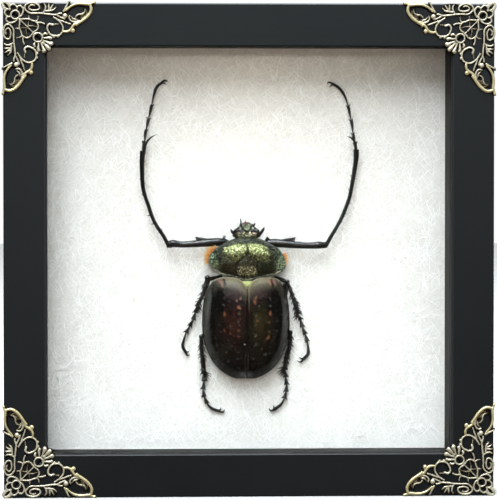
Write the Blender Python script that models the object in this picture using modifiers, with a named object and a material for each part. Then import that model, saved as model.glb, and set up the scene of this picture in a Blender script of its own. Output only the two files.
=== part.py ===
# Long-armed scarab beetle in a black shadow box with four pierced brass corners.
# Metres, +Z up. The frame stands on its bottom rail and faces -Y. X is to the right.

import math

import bmesh
import bpy
from mathutils import Matrix, Vector

MM = 0.001
GAP = 0.3 * MM  # clearance between pieces that touch
WELD_DISTANCE = 1e-6
ROUND_STEPS = 12

# Frame
FRAME_WIDTH = 200.0 * MM
FRAME_HEIGHT = 201.0 * MM
FRAME_DEPTH = 30.0 * MM
RAIL_WIDTH = 17.6 * MM
LIP_WIDTH = 5.0 * MM
LIP_DEPTH = 3.4 * MM
RAIL_ROUNDING = 0.5 * MM
RAIL_ROUNDING_STEPS = 2

# What lies behind the lip, from the front to the back
GLASS_THICKNESS = 2.0 * MM
PAPER_BEHIND_FACE = 24.0 * MM
PAPER_THICKNESS = 0.4 * MM
BOARD_THICKNESS = 3.0 * MM
SPACER_THICKNESS = 4.6 * MM
TAB_THICKNESS = 0.5 * MM
TAB_LENGTH = 13.0 * MM
TAB_WIDTH = 8.0 * MM
TAB_TIP_ANGLES = (-90, -60, -30, 0, 30, 60, 90)
TABS_FROM_CENTRE = 45.0 * MM

# Hanger on the back of the top rail
HANGER_LENGTH = 44.0 * MM
HANGER_HEIGHT = 8.0 * MM
HANGER_THICKNESS = 0.5 * MM
HANGER_ABOVE_RABBET = 2.0 * MM
HANGER_TEETH = 9
TOOTHED_LENGTH = 22.0 * MM
TOOTH_DEPTH = 2.0 * MM
NAIL_FROM_CENTRE = 18.0 * MM
NAIL_ABOVE_TEETH = 4.8 * MM
NAIL_HEAD_RADIUS = 1.6 * MM
NAIL_HEAD_THICKNESS = 0.4 * MM
NAIL_HOLE_RADIUS = 0.9 * MM
NAIL_SHANK_RADIUS = 0.6 * MM

# Corner ornaments. The two round holes lie on the diagonal and are given in millimetres.
ORNAMENT_THICKNESS = 1.2 * MM
ORNAMENT_OVERHANG = 0.5 * MM
FLOWER_AT = 4.95
FLOWER_HOLE = 1.2
FAN_AT = 14.2
FAN_HOLE = 1.3
RING_POINTS = 10

# Beetle, in millimetres from the frame's centre on the paper: across, up, and out of the paper
BEETLE_AXIS = 0.3

# Wing cases. Distances along are from the front edge to the tail.
WING_BASE = -11.3
WING_LENGTH = 42.4
WING_WIDEST_AT = 19.5
WING_HALF_WIDTH = 17.75
WING_FRONT_REACH = 32.9
WING_TAIL_REACH = 23.3
WING_ROUNDNESS = 2.1
WING_MARGIN_HEIGHT = 6.4
WING_MARGIN_WIDTH = 2.8
WING_CROWN = 9.2
WING_CROWN_AT = 16.0
WING_FRONT_LOSS = 0.3
WING_FRONT_POWER = 2.5
WING_TAIL_POWERS = (2.4, 0.55)
WING_SIDE_POWERS = (2.6, 0.62)
WING_TAIL_HALF_WIDTH = 0.5
WING_THICKNESS = 0.7
WING_SUTURE = 0.15
WING_COLUMNS = 9
WING_FRONT_ROWS = (0.0, 2.2, 4.6, 8.5, 13.0, 17.5)
WING_TAIL_ANGLES = (20, 38, 52, 63, 72, 79, 85)
WING_NOTCH_WIDTH = 3.1
WING_NOTCH_LENGTH = 5.0
WING_DIP = 1.9  # the front edge reaches further back beside the shield
WING_DIP_ACROSS = 9.0
WING_DIP_ALONG = 6.0
WING_FRONT_DROP = 2.0
WING_FRONT_DROP_ALONG = 3.0

# Shield between the wing cases
SCUTELLUM_HALF = [(0.0, 0.0), (2.3, 0.0), (1.84, -1.45), (0.0, -2.9)]
SCUTELLUM_TOP = -12.95
SCUTELLUM_HEIGHT = 11.2
SCUTELLUM_THICKNESS = 0.9

# Half outlines seen from the front, from the head end to the tail end
PRONOTUM_HALF = [
    (0.0, 5.3), (4.7, 4.8), (8.5, 3.3), (13.0, 0.5), (15.4, -2.6), (16.1, -5.3), (15.7, -7.2),
    (14.5, -8.8), (11.6, -10.3), (6.0, -11.1), (3.2, -12.0), (0.0, -12.5),
]
HEAD_HALF = [
    (0.0, 11.2), (2.5, 10.9), (3.0, 9.6), (4.2, 8.7), (5.2, 7.3), (5.3, 5.65), (0.0, 5.65),
]
PRONOTUM_CENTRE = -4.0
HEAD_CENTRE = 7.6
HEAD_SLOPE = 0.35
HEAD_SLOPE_FROM = 11.0

# Bumps and hollows of the pronotum: height, place across and up, half width, half length.
# Two swellings beside a groove, and a low ridge towards the tail.
PRONOTUM_BUMPS = [
    (1.1, -5.0, -0.4, 3.2, 3.4),
    (1.1, 5.0, -0.4, 3.2, 3.4),
    (-0.9, 0.0, 0.5, 1.2, 4.0),
    (0.5, 0.0, -8.0, 3.0, 3.5),
]

# Levels of each lofted piece: the outline's share of its full size, the height out of the paper,
# and whether the relief lifts that level
PRONOTUM_LEVELS = [
    (0.4, 1.3, False), (0.55, 2.2, False), (0.58, 6.9, False), (1.0, 7.3, False), (1.0, 8.0, True),
    (0.94, 8.9, True), (0.82, 10.5, True), (0.64, 12.0, True), (0.42, 12.9, True), (0.18, 13.3, True),
]
HEAD_LEVELS = [
    (0.75, 3.9, False), (1.0, 4.8, False), (1.0, 6.2, True), (0.8, 7.0, True), (0.4, 7.5, True),
]
BODY_LEVELS = [
    (0.7, 0.4, False), (0.92, 1.4, False), (1.0, 3.0, False), (1.0, 5.0, False), (0.8, 8.0, False),
    (0.55, 9.6, False), (0.2, 10.2, False),
]
TUFT_LEVELS = [(0.6, 5.4, False), (1.0, 6.1, False), (1.0, 6.8, False), (0.6, 7.4, False)]

# Thorax and abdomen under the wing cases, a rounded oval
BODY_CENTRE = -31.0
BODY_HALF_LENGTH = 21.9
BODY_HALF_WIDTH = 12.5
BODY_SQUARENESS = 0.87
BODY_POINTS = 20

# Tufts of hair beside the pronotum, seen from the front
TUFTS = {
    "hair_tuft_left": [
        (-13.3, 0.5), (-14.4, -0.7), (-15.6, -2.3), (-16.3, -5.3), (-17.1, -6.0), (-18.3, -4.6),
        (-18.5, -2.3), (-17.4, -0.3), (-15.7, 0.8), (-14.3, 1.0),
    ],
    "hair_tuft_right": [
        (16.2, -2.2), (16.8, -4.9), (17.1, -6.0), (17.7, -5.2), (17.8, -3.4), (17.0, -1.6),
    ],
}

# Outline of one half of a corner ornament, in millimetres along and away from the frame's edges,
# from its tip in the frame's corner, along one arm and back to the fan on the diagonal
ORNAMENT_HALF = [
    (-0.3, -0.3), (1.5, 0.6), (2.9, 1.8), (3.7, 0.6), (4.7, 0.7), (5.8, 2.0), (7.0, 1.1), (8.6, 2.2),
    (9.1, 0.9), (10.5, 0.0), (12.5, -0.2), (14.6, 0.5), (16.0, 0.0), (18.6, 0.0), (20.9, 0.4),
    (22.1, 1.6), (20.9, 3.4), (21.4, 4.3), (23.9, 3.9), (25.2, 1.6), (26.3, -0.5), (27.5, -0.5),
    (26.2, 2.5), (28.2, 0.7), (31.0, 0.0), (34.2, 0.1), (37.0, -0.5), (37.6, 0.3), (36.3, 1.6),
    (36.3, 3.4), (35.2, 5.6), (33.3, 7.5), (29.6, 10.2), (29.3, 11.8), (28.3, 12.5), (27.3, 12.1),
    (24.6, 12.4), (23.4, 13.9), (22.2, 14.7), (20.2, 14.4), (18.7, 13.5), (20.0, 14.9), (19.4, 15.6),
    (20.8, 16.3), (20.9, 17.5), (20.0, 18.2), (19.6, 19.6),
]

# Openings of that half: beside the spiral, between stem, leaf and hook, beside the fan, beyond the
# hook, in the eye of the loop, and three cells of the leaf
ORNAMENT_OPENINGS = [
    [(15.1, 1.0), (16.3, 1.3), (16.6, 2.6), (15.8, 3.8), (14.8, 3.7), (15.3, 2.4)],
    [
        (7.4, 6.2), (8.9, 4.4), (10.6, 4.9), (17.0, 5.1), (19.4, 5.5), (21.6, 6.9), (23.0, 8.6),
        (23.6, 10.3), (23.1, 11.9), (21.7, 12.8), (20.3, 12.5), (19.0, 11.2), (18.9, 9.9),
        (20.4, 9.3), (20.4, 8.5), (18.9, 8.2), (17.4, 8.6), (14.3, 7.7), (12.0, 6.9),
    ],
    [
        (14.6, 8.7), (16.8, 9.3), (17.5, 10.6), (18.0, 12.3), (16.6, 12.3), (15.2, 12.0),
        (14.3, 11.6), (15.0, 10.0),
    ],
    [(24.4, 7.9), (27.4, 9.1), (27.2, 10.2), (25.9, 11.1), (24.9, 11.1), (24.8, 9.4)],
    [
        (26.3, 3.9), (28.0, 2.4), (30.0, 1.7), (32.6, 1.7), (32.2, 4.2), (30.4, 4.3), (29.1, 5.8),
        (28.0, 5.4),
    ],
    [(8.2, 7.5), (10.0, 7.4), (9.9, 9.2)],
    [(10.9, 7.5), (12.7, 8.3), (13.4, 9.3), (10.8, 9.1)],
    [(10.9, 9.9), (13.5, 10.2), (12.2, 11.6)],
]

# Legs. A path's points are across, up, out of the paper, and the radius there, all in millimetres.
# Teeth, spurs and claws are short paths that grow out of it.
LEGS = {
    "front_left": {
        "femur": [
            (-5.7, 1.7, 4.7, 1.0), (-9.0, 2.9, 4.9, 1.5), (-13.0, 3.2, 5.2, 1.75),
            (-20.3, 2.5, 5.6, 1.4), (-26.5, 2.1, 5.6, 1.15), (-31.0, 1.8, 5.4, 0.95),
        ],
        "femur_teeth": [
            [(-19.3, 2.9, 5.8, 0.9), (-20.5, 5.1, 5.8, 0.1)],
        ],
        "tibia": [
            (-32.05, 1.55, 5.4, 0.85), (-34.2, 5.1, 5.2, 0.75), (-36.2, 8.0, 5.0, 0.72),
            (-38.0, 10.9, 4.8, 0.72), (-39.5, 14.4, 4.6, 0.74), (-40.6, 17.9, 4.4, 0.74),
            (-41.7, 21.1, 4.2, 0.75), (-42.6, 25.0, 4.1, 0.78), (-42.9, 31.0, 3.8, 0.85),
            (-42.7, 36.8, 3.5, 0.95), (-42.4, 39.8, 3.3, 1.1),
        ],
        "tibia_teeth": [
            [(-35.0, 6.8, 5.0, 0.4), (-36.4, 6.6, 5.2, 0.05)],
            [(-37.6, 10.6, 4.8, 0.4), (-39.2, 10.1, 5.0, 0.05)],
            [(-39.2, 14.0, 4.6, 0.4), (-40.8, 13.7, 4.8, 0.05)],
            [(-42.6, 28.6, 3.9, 0.4), (-44.1, 29.2, 4.1, 0.05)],
            [
                (-42.0, 38.9, 4.0, 0.6), (-41.2, 43.0, 4.4, 0.5), (-39.5, 45.8, 4.6, 0.38),
                (-36.4, 47.7, 4.6, 0.08),
            ],
        ],
        "tarsus": [
            (-42.3, 40.4, 2.8, 0.4), (-41.6, 44.2, 2.5, 0.45), (-41.3, 48.1, 2.3, 0.55),
            (-41.0, 49.4, 2.2, 0.35), (-40.3, 52.9, 2.0, 0.52), (-40.0, 54.2, 1.9, 0.35),
            (-39.0, 58.5, 1.7, 0.52), (-38.7, 59.8, 1.6, 0.35), (-37.7, 64.3, 1.4, 0.42),
            (-36.5, 67.4, 1.3, 0.5), (-34.7, 68.9, 1.2, 0.45),
        ],
        "claws": [
            [(-35.0, 68.8, 1.3, 0.35), (-33.2, 69.9, 1.3, 0.28), (-31.9, 69.5, 0.9, 0.06)],
            [(-35.2, 68.5, 1.0, 0.3), (-33.9, 68.9, 1.0, 0.25), (-32.7, 68.1, 0.8, 0.06)],
        ],
    },
    "front_right": {
        "femur": [
            (6.3, 1.7, 4.7, 1.0), (9.6, 2.8, 4.9, 1.5), (13.6, 3.0, 5.2, 1.75),
            (20.3, 2.3, 5.6, 1.4), (27.5, 1.9, 5.6, 1.15), (32.2, 1.6, 5.4, 0.95),
        ],
        "femur_teeth": [
            [(19.3, 2.7, 5.8, 0.9), (20.4, 4.8, 5.8, 0.1)],
        ],
        "tibia": [
            (33.25, 1.35, 5.4, 0.85), (35.4, 5.2, 5.2, 0.75), (37.4, 8.5, 5.0, 0.72),
            (39.2, 11.7, 4.8, 0.72), (40.7, 15.0, 4.6, 0.74), (41.9, 18.0, 4.4, 0.74),
            (43.0, 21.2, 4.2, 0.75), (44.1, 26.5, 4.1, 0.78), (45.1, 32.4, 3.8, 0.85),
            (45.8, 37.4, 3.5, 0.95), (45.9, 41.2, 3.3, 1.1),
        ],
        "tibia_teeth": [
            [(36.4, 6.8, 5.0, 0.4), (37.8, 6.6, 5.2, 0.05)],
            [(39.0, 11.3, 4.8, 0.4), (40.5, 11.0, 5.0, 0.05)],
            [(40.6, 14.6, 4.6, 0.4), (42.1, 14.4, 4.8, 0.05)],
            [(44.4, 28.6, 3.9, 0.4), (45.9, 29.2, 4.1, 0.05)],
            [
                (45.7, 40.4, 4.0, 0.6), (45.3, 44.2, 4.4, 0.5), (43.8, 46.0, 4.6, 0.38),
                (41.9, 46.8, 4.6, 0.08),
            ],
        ],
        "tarsus": [
            (45.8, 41.9, 2.8, 0.4), (45.4, 44.2, 2.5, 0.45), (44.9, 46.6, 2.3, 0.55),
            (44.7, 48.0, 2.2, 0.35), (44.2, 52.4, 2.0, 0.52), (43.9, 53.7, 1.9, 0.35),
            (43.0, 58.2, 1.7, 0.52), (42.7, 59.5, 1.6, 0.35), (41.1, 64.0, 1.4, 0.42),
            (38.6, 67.2, 1.3, 0.5), (36.2, 68.6, 1.2, 0.45),
        ],
        "claws": [
            [(36.5, 68.5, 1.3, 0.35), (34.8, 69.2, 1.3, 0.28), (33.9, 68.4, 0.9, 0.06)],
            [(36.7, 68.3, 1.0, 0.3), (35.6, 67.9, 1.0, 0.25), (34.9, 67.1, 0.8, 0.06)],
        ],
    },
    "middle_left": {
        "femur": [
            (-13.9, -23.2, 3.2, 0.9), (-15.6, -20.3, 3.6, 1.1), (-16.2, -16.0, 4.0, 1.1),
            (-15.3, -12.6, 4.5, 0.9),
        ],
        "femur_teeth": [],
        "tibia": [
            (-15.9, -12.2, 6.8, 0.75), (-16.8, -15.6, 6.3, 0.7), (-17.9, -19.6, 5.3, 0.72),
            (-19.3, -22.5, 4.0, 0.75), (-20.1, -24.1, 3.1, 0.85),
        ],
        "tibia_teeth": [
            [(-16.5, -14.4, 6.4, 0.3), (-18.3, -15.2, 6.6, 0.05)],
            [(-17.3, -17.6, 5.8, 0.3), (-19.2, -18.6, 5.9, 0.05)],
            [(-19.4, -22.7, 3.9, 0.3), (-21.2, -23.6, 4.1, 0.05)],
            [(-19.5, -23.2, 3.3, 0.35), (-17.9, -26.4, 2.6, 0.05)],
        ],
        "tarsus": [
            (-20.4, -25.1, 2.4, 0.4), (-20.7, -26.6, 2.1, 0.55), (-20.9, -27.4, 2.0, 0.35),
            (-21.6, -29.6, 1.8, 0.52), (-22.0, -30.4, 1.7, 0.35), (-23.1, -32.3, 1.6, 0.52),
            (-23.4, -33.2, 1.5, 0.35), (-24.5, -35.1, 1.4, 0.5), (-25.5, -38.3, 1.2, 0.38),
            (-25.9, -40.6, 1.1, 0.5), (-24.6, -43.4, 1.0, 0.45),
        ],
        "claws": [
            [(-24.8, -43.1, 1.1, 0.35), (-23.9, -44.6, 1.1, 0.28), (-22.9, -44.3, 0.8, 0.06)],
            [(-25.0, -42.9, 0.9, 0.3), (-23.9, -43.2, 0.9, 0.25), (-23.1, -42.6, 0.7, 0.06)],
        ],
    },
    "middle_right": {
        "femur": [
            (13.9, -23.4, 3.2, 0.9), (15.8, -20.6, 3.6, 1.1), (16.6, -17.0, 4.0, 1.1),
            (16.3, -14.4, 4.5, 0.9),
        ],
        "femur_teeth": [],
        "tibia": [
            (17.0, -14.0, 6.8, 0.75), (18.3, -16.8, 6.3, 0.7), (19.4, -19.7, 5.3, 0.72),
            (20.4, -22.6, 4.2, 0.75), (21.8, -27.2, 3.1, 0.85),
        ],
        "tibia_teeth": [
            [(18.0, -15.9, 6.4, 0.3), (19.7, -16.7, 6.6, 0.05)],
            [(18.9, -18.2, 5.8, 0.3), (20.7, -19.2, 5.9, 0.05)],
            [(20.0, -21.2, 4.8, 0.3), (21.7, -22.1, 5.0, 0.05)],
            [(21.1, -26.0, 3.4, 0.35), (20.0, -28.5, 2.8, 0.05)],
            [(21.9, -26.3, 3.4, 0.35), (23.9, -28.2, 2.8, 0.05)],
        ],
        "tarsus": [
            (22.2, -28.2, 2.4, 0.4), (22.9, -29.7, 2.1, 0.55), (23.1, -30.6, 2.0, 0.35),
            (23.7, -32.8, 1.8, 0.52), (24.0, -33.7, 1.7, 0.35), (24.9, -35.8, 1.6, 0.52),
            (25.1, -36.7, 1.5, 0.35), (25.8, -38.9, 1.4, 0.5), (26.2, -41.9, 1.2, 0.38),
            (26.1, -44.1, 1.1, 0.5), (24.2, -46.3, 1.0, 0.45),
        ],
        "claws": [
            [(24.4, -46.1, 1.1, 0.35), (22.9, -47.5, 1.1, 0.28), (21.6, -46.9, 0.8, 0.06)],
            [(24.6, -45.9, 0.9, 0.3), (23.3, -46.1, 0.9, 0.25), (22.5, -45.4, 0.7, 0.06)],
        ],
    },
    "hind_left": {
        "femur": [
            (-13.3, -34.1, 2.9, 0.9), (-15.2, -35.1, 3.3, 1.2), (-17.2, -36.1, 3.5, 0.85),
        ],
        "femur_teeth": [],
        "tibia": [
            (-18.3, -36.3, 3.4, 0.8), (-18.1, -43.0, 3.0, 0.85), (-17.5, -48.1, 2.7, 0.9),
            (-17.3, -52.3, 2.5, 0.95),
        ],
        "tibia_teeth": [
            [(-18.2, -40.4, 3.2, 0.3), (-19.8, -41.3, 3.3, 0.05)],
            [(-18.0, -43.4, 3.0, 0.3), (-19.6, -44.3, 3.1, 0.05)],
            [(-17.7, -46.6, 2.8, 0.3), (-19.1, -47.5, 2.9, 0.05)],
            [(-17.0, -51.2, 2.8, 0.4), (-14.0, -52.6, 2.6, 0.05)],
        ],
        "tarsus": [
            (-17.3, -53.2, 2.1, 0.4), (-17.1, -55.2, 2.0, 0.55), (-17.2, -56.1, 1.9, 0.35),
            (-17.5, -58.7, 1.8, 0.52), (-17.4, -59.6, 1.7, 0.35), (-17.0, -61.8, 1.5, 0.52),
            (-16.7, -62.8, 1.4, 0.35), (-15.9, -64.5, 1.3, 0.5), (-14.6, -66.2, 1.2, 0.4),
            (-12.7, -67.3, 1.1, 0.5), (-10.4, -68.0, 1.0, 0.45),
        ],
        "claws": [
            [(-10.8, -67.9, 1.1, 0.35), (-9.2, -68.3, 1.1, 0.28), (-8.4, -67.2, 0.8, 0.06)],
            [(-11.2, -67.8, 0.9, 0.3), (-10.3, -67.2, 0.9, 0.25), (-10.0, -66.3, 0.7, 0.06)],
        ],
    },
    "hind_right": {
        "femur": [
            (13.3, -32.5, 2.9, 0.9), (15.3, -33.5, 3.3, 1.2), (17.4, -34.5, 3.5, 0.85),
        ],
        "femur_teeth": [],
        "tibia": [
            (18.5, -34.7, 3.4, 0.8), (18.3, -40.5, 3.1, 0.85), (17.1, -45.0, 2.8, 0.9),
            (16.3, -50.6, 2.5, 0.95),
        ],
        "tibia_teeth": [
            [(18.5, -38.6, 3.2, 0.3), (20.0, -39.4, 3.3, 0.05)],
            [(18.1, -41.3, 3.0, 0.3), (19.5, -42.4, 3.1, 0.05)],
            [(17.3, -44.2, 2.8, 0.3), (18.7, -45.3, 2.9, 0.05)],
            [(16.1, -49.4, 2.8, 0.4), (13.1, -50.3, 2.6, 0.05)],
        ],
        "tarsus": [
            (16.4, -51.5, 2.1, 0.4), (16.8, -53.7, 2.0, 0.55), (16.9, -54.6, 1.9, 0.35),
            (17.2, -56.8, 1.8, 0.52), (17.2, -57.7, 1.7, 0.35), (17.0, -59.8, 1.5, 0.52),
            (16.8, -60.7, 1.4, 0.35), (16.3, -62.7, 1.3, 0.5), (14.9, -65.1, 1.2, 0.4),
            (13.2, -66.5, 1.1, 0.5), (11.5, -67.7, 1.0, 0.45),
        ],
        "claws": [
            [(11.8, -67.5, 1.1, 0.35), (10.6, -67.8, 1.1, 0.28), (9.9, -66.7, 0.8, 0.06)],
            [(12.2, -67.2, 0.9, 0.3), (11.9, -66.3, 0.9, 0.25), (12.0, -65.5, 0.7, 0.06)],
        ],
    },
}

# Antennae and palps, as paths of the same kind
FEELERS = {
    "antenna_left": [(-5.9, 6.2, 6.3, 0.35), (-6.6, 7.0, 6.4, 0.5), (-7.3, 8.0, 6.4, 0.2)],
    "antenna_right": [(6.0, 6.2, 6.3, 0.35), (6.8, 7.2, 6.4, 0.5), (7.6, 8.4, 6.4, 0.2)],
    "palp_left": [(-3.1, 10.1, 5.2, 0.3), (-3.3, 11.1, 5.0, 0.32), (-3.1, 12.3, 4.8, 0.12)],
    "palp_right": [(3.6, 10.0, 5.2, 0.3), (3.8, 10.6, 5.0, 0.3), (3.9, 11.2, 4.9, 0.12)],
}
THICK_TUBE_SIDES = 8
THIN_TUBE_SIDES = 6
TOOTH_SIDES = 4

# Colour, metallic and roughness of each finish
FINISHES = {
    "black_paint": ((0.02, 0.022, 0.022), 0.0, 0.45),
    "black_card": ((0.012, 0.012, 0.012), 0.0, 0.8),
    "clear_glass": ((0.95, 0.97, 0.96), 0.0, 0.02),
    "white_paper": ((0.9, 0.89, 0.87), 0.0, 0.85),
    "brown_board": ((0.35, 0.22, 0.12), 0.0, 0.85),
    "spring_steel": ((0.5, 0.5, 0.5), 1.0, 0.35),
    "antique_brass": ((0.55, 0.46, 0.27), 1.0, 0.38),
    "black_shell": ((0.012, 0.013, 0.016), 0.0, 0.22),
    "green_shell": ((0.16, 0.2, 0.05), 0.7, 0.35),
    "brown_shell": ((0.03, 0.014, 0.008), 0.0, 0.28),
    "pale_shell": ((0.55, 0.6, 0.25), 0.1, 0.35),
    "orange_hair": ((0.85, 0.4, 0.1), 0.0, 0.7),
}

FRONT_Y = -FRAME_DEPTH / 2
BACK_Y = FRAME_DEPTH / 2
GLASS_Y = FRONT_Y + LIP_DEPTH + GAP
SPACER_Y = GLASS_Y + GLASS_THICKNESS + GAP
PAPER_Y = FRONT_Y + PAPER_BEHIND_FACE
BOARD_Y = PAPER_Y + PAPER_THICKNESS + GAP
TAB_Y = BOARD_Y + BOARD_THICKNESS + GAP
CENTRE_Z = FRAME_HEIGHT / 2


def clear_scene():
    for obj in list(bpy.data.objects):
        bpy.data.objects.remove(obj, do_unlink=True)


def new_collection(name):
    collection = bpy.data.collections.new(name)
    bpy.context.scene.collection.children.link(collection)
    return collection


def finish_material(name):
    if name in bpy.data.materials:
        return bpy.data.materials[name]
    colour, metallic, roughness = FINISHES[name]
    material = bpy.data.materials.new(name)
    material.use_nodes = True
    shader = material.node_tree.nodes["Principled BSDF"]
    shader.inputs["Base Color"].default_value = (*colour, 1.0)
    shader.inputs["Metallic"].default_value = metallic
    shader.inputs["Roughness"].default_value = roughness
    if name == "clear_glass":
        shader.inputs["Transmission Weight"].default_value = 1.0
    return material


def add_object(name, data, finish, parent=None):
    obj = bpy.data.objects.new(name, data)
    parts.objects.link(obj)
    obj.parent = parent
    data.materials.append(finish_material(finish))
    return obj


def add_cutter(name, mesh, parent):
    obj = bpy.data.objects.new(name, mesh)
    cutters.objects.link(obj)
    obj.parent = parent
    obj.hide_render = True
    obj.display_type = "WIRE"
    return obj


def mesh_from(bm, name):
    mesh = bpy.data.meshes.new(name)
    bm.to_mesh(mesh)
    bm.free()
    return mesh


def add_box(name, size, centre, finish):
    bm = bmesh.new()
    bmesh.ops.create_cube(bm, size=1.0, matrix=Matrix.Diagonal((*size, 1.0)))
    box = add_object(name, mesh_from(bm, name), finish)
    box.location = centre
    return box


def add_plate(name, outlines, thickness, finish, centre):
    # A flat outline that stands upright, its face to the front; inner outlines are holes
    curve = bpy.data.curves.new(name, "CURVE")
    curve.dimensions = "2D"
    curve.fill_mode = "BOTH"
    curve.extrude = thickness / 2
    for outline in outlines:
        spline = curve.splines.new("POLY")
        spline.points.add(len(outline) - 1)
        for point, (x, z) in zip(spline.points, outline):
            point.co = (x, z, 0.0, 1.0)
        spline.use_cyclic_u = True
    plate = add_object(name, curve, finish)
    plate.location = centre
    plate.rotation_euler = (math.pi / 2, 0.0, 0.0)
    return plate


def add_turned(name, profile, finish):
    # A profile of radius and height, from the foot to the top, turned about its upright axis
    bm = bmesh.new()
    verts = [bm.verts.new((radius, 0.0, height)) for radius, height in profile]
    for first, second in zip(verts, verts[1:]):
        bm.edges.new((first, second))
    turned = add_object(name, mesh_from(bm, name), finish)
    turn = turned.modifiers.new("turn", "SCREW")
    turn.steps = ROUND_STEPS
    turn.render_steps = ROUND_STEPS
    turn.use_merge_vertices = True
    turn.merge_threshold = WELD_DISTANCE
    turn.use_normal_flip = True
    return turned


def tube_mesh(name, path, sides):
    curve = bpy.data.curves.new(name, "CURVE")
    curve.dimensions = "3D"
    curve.bevel_depth = MM
    curve.bevel_resolution = (sides - 4) // 2
    curve.use_fill_caps = True
    spline = curve.splines.new("POLY")
    spline.points.add(len(path) - 1)
    for point, (across, up, out, radius) in zip(spline.points, path):
        point.co = (across * MM, -out * MM, up * MM, 1.0)
        point.radius = radius
    wire = bpy.data.objects.new(name, curve)
    bpy.context.scene.collection.objects.link(wire)
    bpy.context.view_layer.update()
    evaluated = wire.evaluated_get(bpy.context.evaluated_depsgraph_get())
    mesh = bpy.data.meshes.new_from_object(evaluated)
    bpy.data.objects.remove(wire, do_unlink=True)
    bm = bmesh.new()
    bm.from_mesh(mesh)
    bmesh.ops.remove_doubles(bm, verts=bm.verts, dist=WELD_DISTANCE)
    bm.to_mesh(mesh)
    bm.free()
    mesh.name = name
    return mesh


def add_limb(name, path, sides, branches=()):
    limb = add_object(name, tube_mesh(name, path, sides), "black_shell", beetle)
    if branches:
        bm = bmesh.new()
        for branch in branches:
            bm.from_mesh(tube_mesh(name + "_branch", branch, TOOTH_SIDES))
        joined = limb.modifiers.new("branches", "BOOLEAN")
        joined.operation = "UNION"
        joined.object = add_cutter(name + "_branches", mesh_from(bm, name + "_branches"), beetle)
        joined.use_self = True
    return limb


def both_sides(half, axis):
    right = [(axis + x, z) for x, z in half]
    left = [(axis - x, z) for x, z in reversed(half[1:-1])]
    return right + left


def loft(name, rings, finish):
    # Rings of equally many points, from the lowest to the highest, closed at both ends
    bm = bmesh.new()
    rows = [[bm.verts.new(Vector(point) * MM) for point in ring] for ring in rings]
    count = len(rows[0])
    for lower, upper in zip(rows, rows[1:]):
        for i in range(count):
            j = (i + 1) % count
            bm.faces.new((lower[i], lower[j], upper[j], upper[i]))
    bm.faces.new(rows[0])
    bm.faces.new(rows[-1])
    bmesh.ops.recalc_face_normals(bm, faces=bm.faces)
    mesh = mesh_from(bm, name)
    mesh.shade_smooth()
    return add_object(name, mesh, finish, beetle)


def stacked_rings(outline, centre, levels, relief=None):
    # The outline shrunk towards its centre at each level
    cx, cz = centre
    rings = []
    for share, height, is_lifted in levels:
        ring = []
        for x, z in outline:
            px = cx + (x - cx) * share
            pz = cz + (z - cz) * share
            lift = relief(px, pz) if is_lifted else 0.0
            ring.append((px, -(height + lift), pz))
        rings.append(ring)
    return rings


def make_rail(name, length, angle, centre):
    # An L-shaped bar: the face, and a lip over the glass. Both ends are cut at 45 degrees.
    profile = [
        (0.0, 0.0), (RAIL_WIDTH, 0.0), (RAIL_WIDTH, LIP_DEPTH), (RAIL_WIDTH - LIP_WIDTH, LIP_DEPTH),
        (RAIL_WIDTH - LIP_WIDTH, FRAME_DEPTH), (0.0, FRAME_DEPTH),
    ]
    bm = bmesh.new()
    section = bm.faces.new([bm.verts.new((0.0, depth, inward)) for inward, depth in profile])
    section.normal_update()
    far_end = bmesh.ops.extrude_face_region(bm, geom=[section])["geom"]
    far_verts = {item for item in far_end if isinstance(item, bmesh.types.BMVert)}
    for vert in bm.verts:
        end = length / 2 - vert.co.z - GAP / 2
        vert.co.x = end if vert in far_verts else -end
    bmesh.ops.recalc_face_normals(bm, faces=bm.faces)
    rail = add_object(name, mesh_from(bm, name), "black_paint")
    rail.location = centre
    rail.rotation_euler = (0.0, angle, 0.0)
    rounding = rail.modifiers.new("rounding", "BEVEL")
    rounding.width = RAIL_ROUNDING
    rounding.segments = RAIL_ROUNDING_STEPS
    rounding.limit_method = "ANGLE"
    return rail


def make_frame():
    half_width = FRAME_WIDTH / 2
    make_rail("frame_rail_bottom", FRAME_WIDTH, 0.0, (0.0, FRONT_Y, 0.0))
    make_rail("frame_rail_top", FRAME_WIDTH, math.pi, (0.0, FRONT_Y, FRAME_HEIGHT))
    make_rail("frame_rail_left", FRAME_HEIGHT, math.pi / 2, (-half_width, FRONT_Y, CENTRE_Z))
    make_rail("frame_rail_right", FRAME_HEIGHT, -math.pi / 2, (half_width, FRONT_Y, CENTRE_Z))


def make_filling():
    rabbet_width = FRAME_WIDTH - 2 * (RAIL_WIDTH - LIP_WIDTH) - 2 * GAP
    rabbet_height = FRAME_HEIGHT - 2 * (RAIL_WIDTH - LIP_WIDTH) - 2 * GAP
    sheets = (
        ("glass_pane", GLASS_Y, GLASS_THICKNESS, "clear_glass"),
        ("backing_paper", PAPER_Y, PAPER_THICKNESS, "white_paper"),
        ("backing_board", BOARD_Y, BOARD_THICKNESS, "brown_board"),
    )
    for name, front, thickness, finish in sheets:
        size = (rabbet_width, thickness, rabbet_height)
        add_box(name, size, (0.0, front + thickness / 2, CENTRE_Z), finish)

    depth = PAPER_Y - GAP - SPACER_Y
    middle_y = SPACER_Y + depth / 2
    level_at = rabbet_height / 2 - SPACER_THICKNESS / 2
    upright_at = rabbet_width / 2 - SPACER_THICKNESS / 2
    upright_length = rabbet_height - 2 * (SPACER_THICKNESS + GAP)
    for name, side in (("spacer_top", 1), ("spacer_bottom", -1)):
        size = (rabbet_width, depth, SPACER_THICKNESS)
        add_box(name, size, (0.0, middle_y, CENTRE_Z + side * level_at), "black_card")
    for name, side in (("spacer_left", -1), ("spacer_right", 1)):
        size = (SPACER_THICKNESS, depth, upright_length)
        add_box(name, size, (side * upright_at, middle_y, CENTRE_Z), "black_card")


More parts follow.
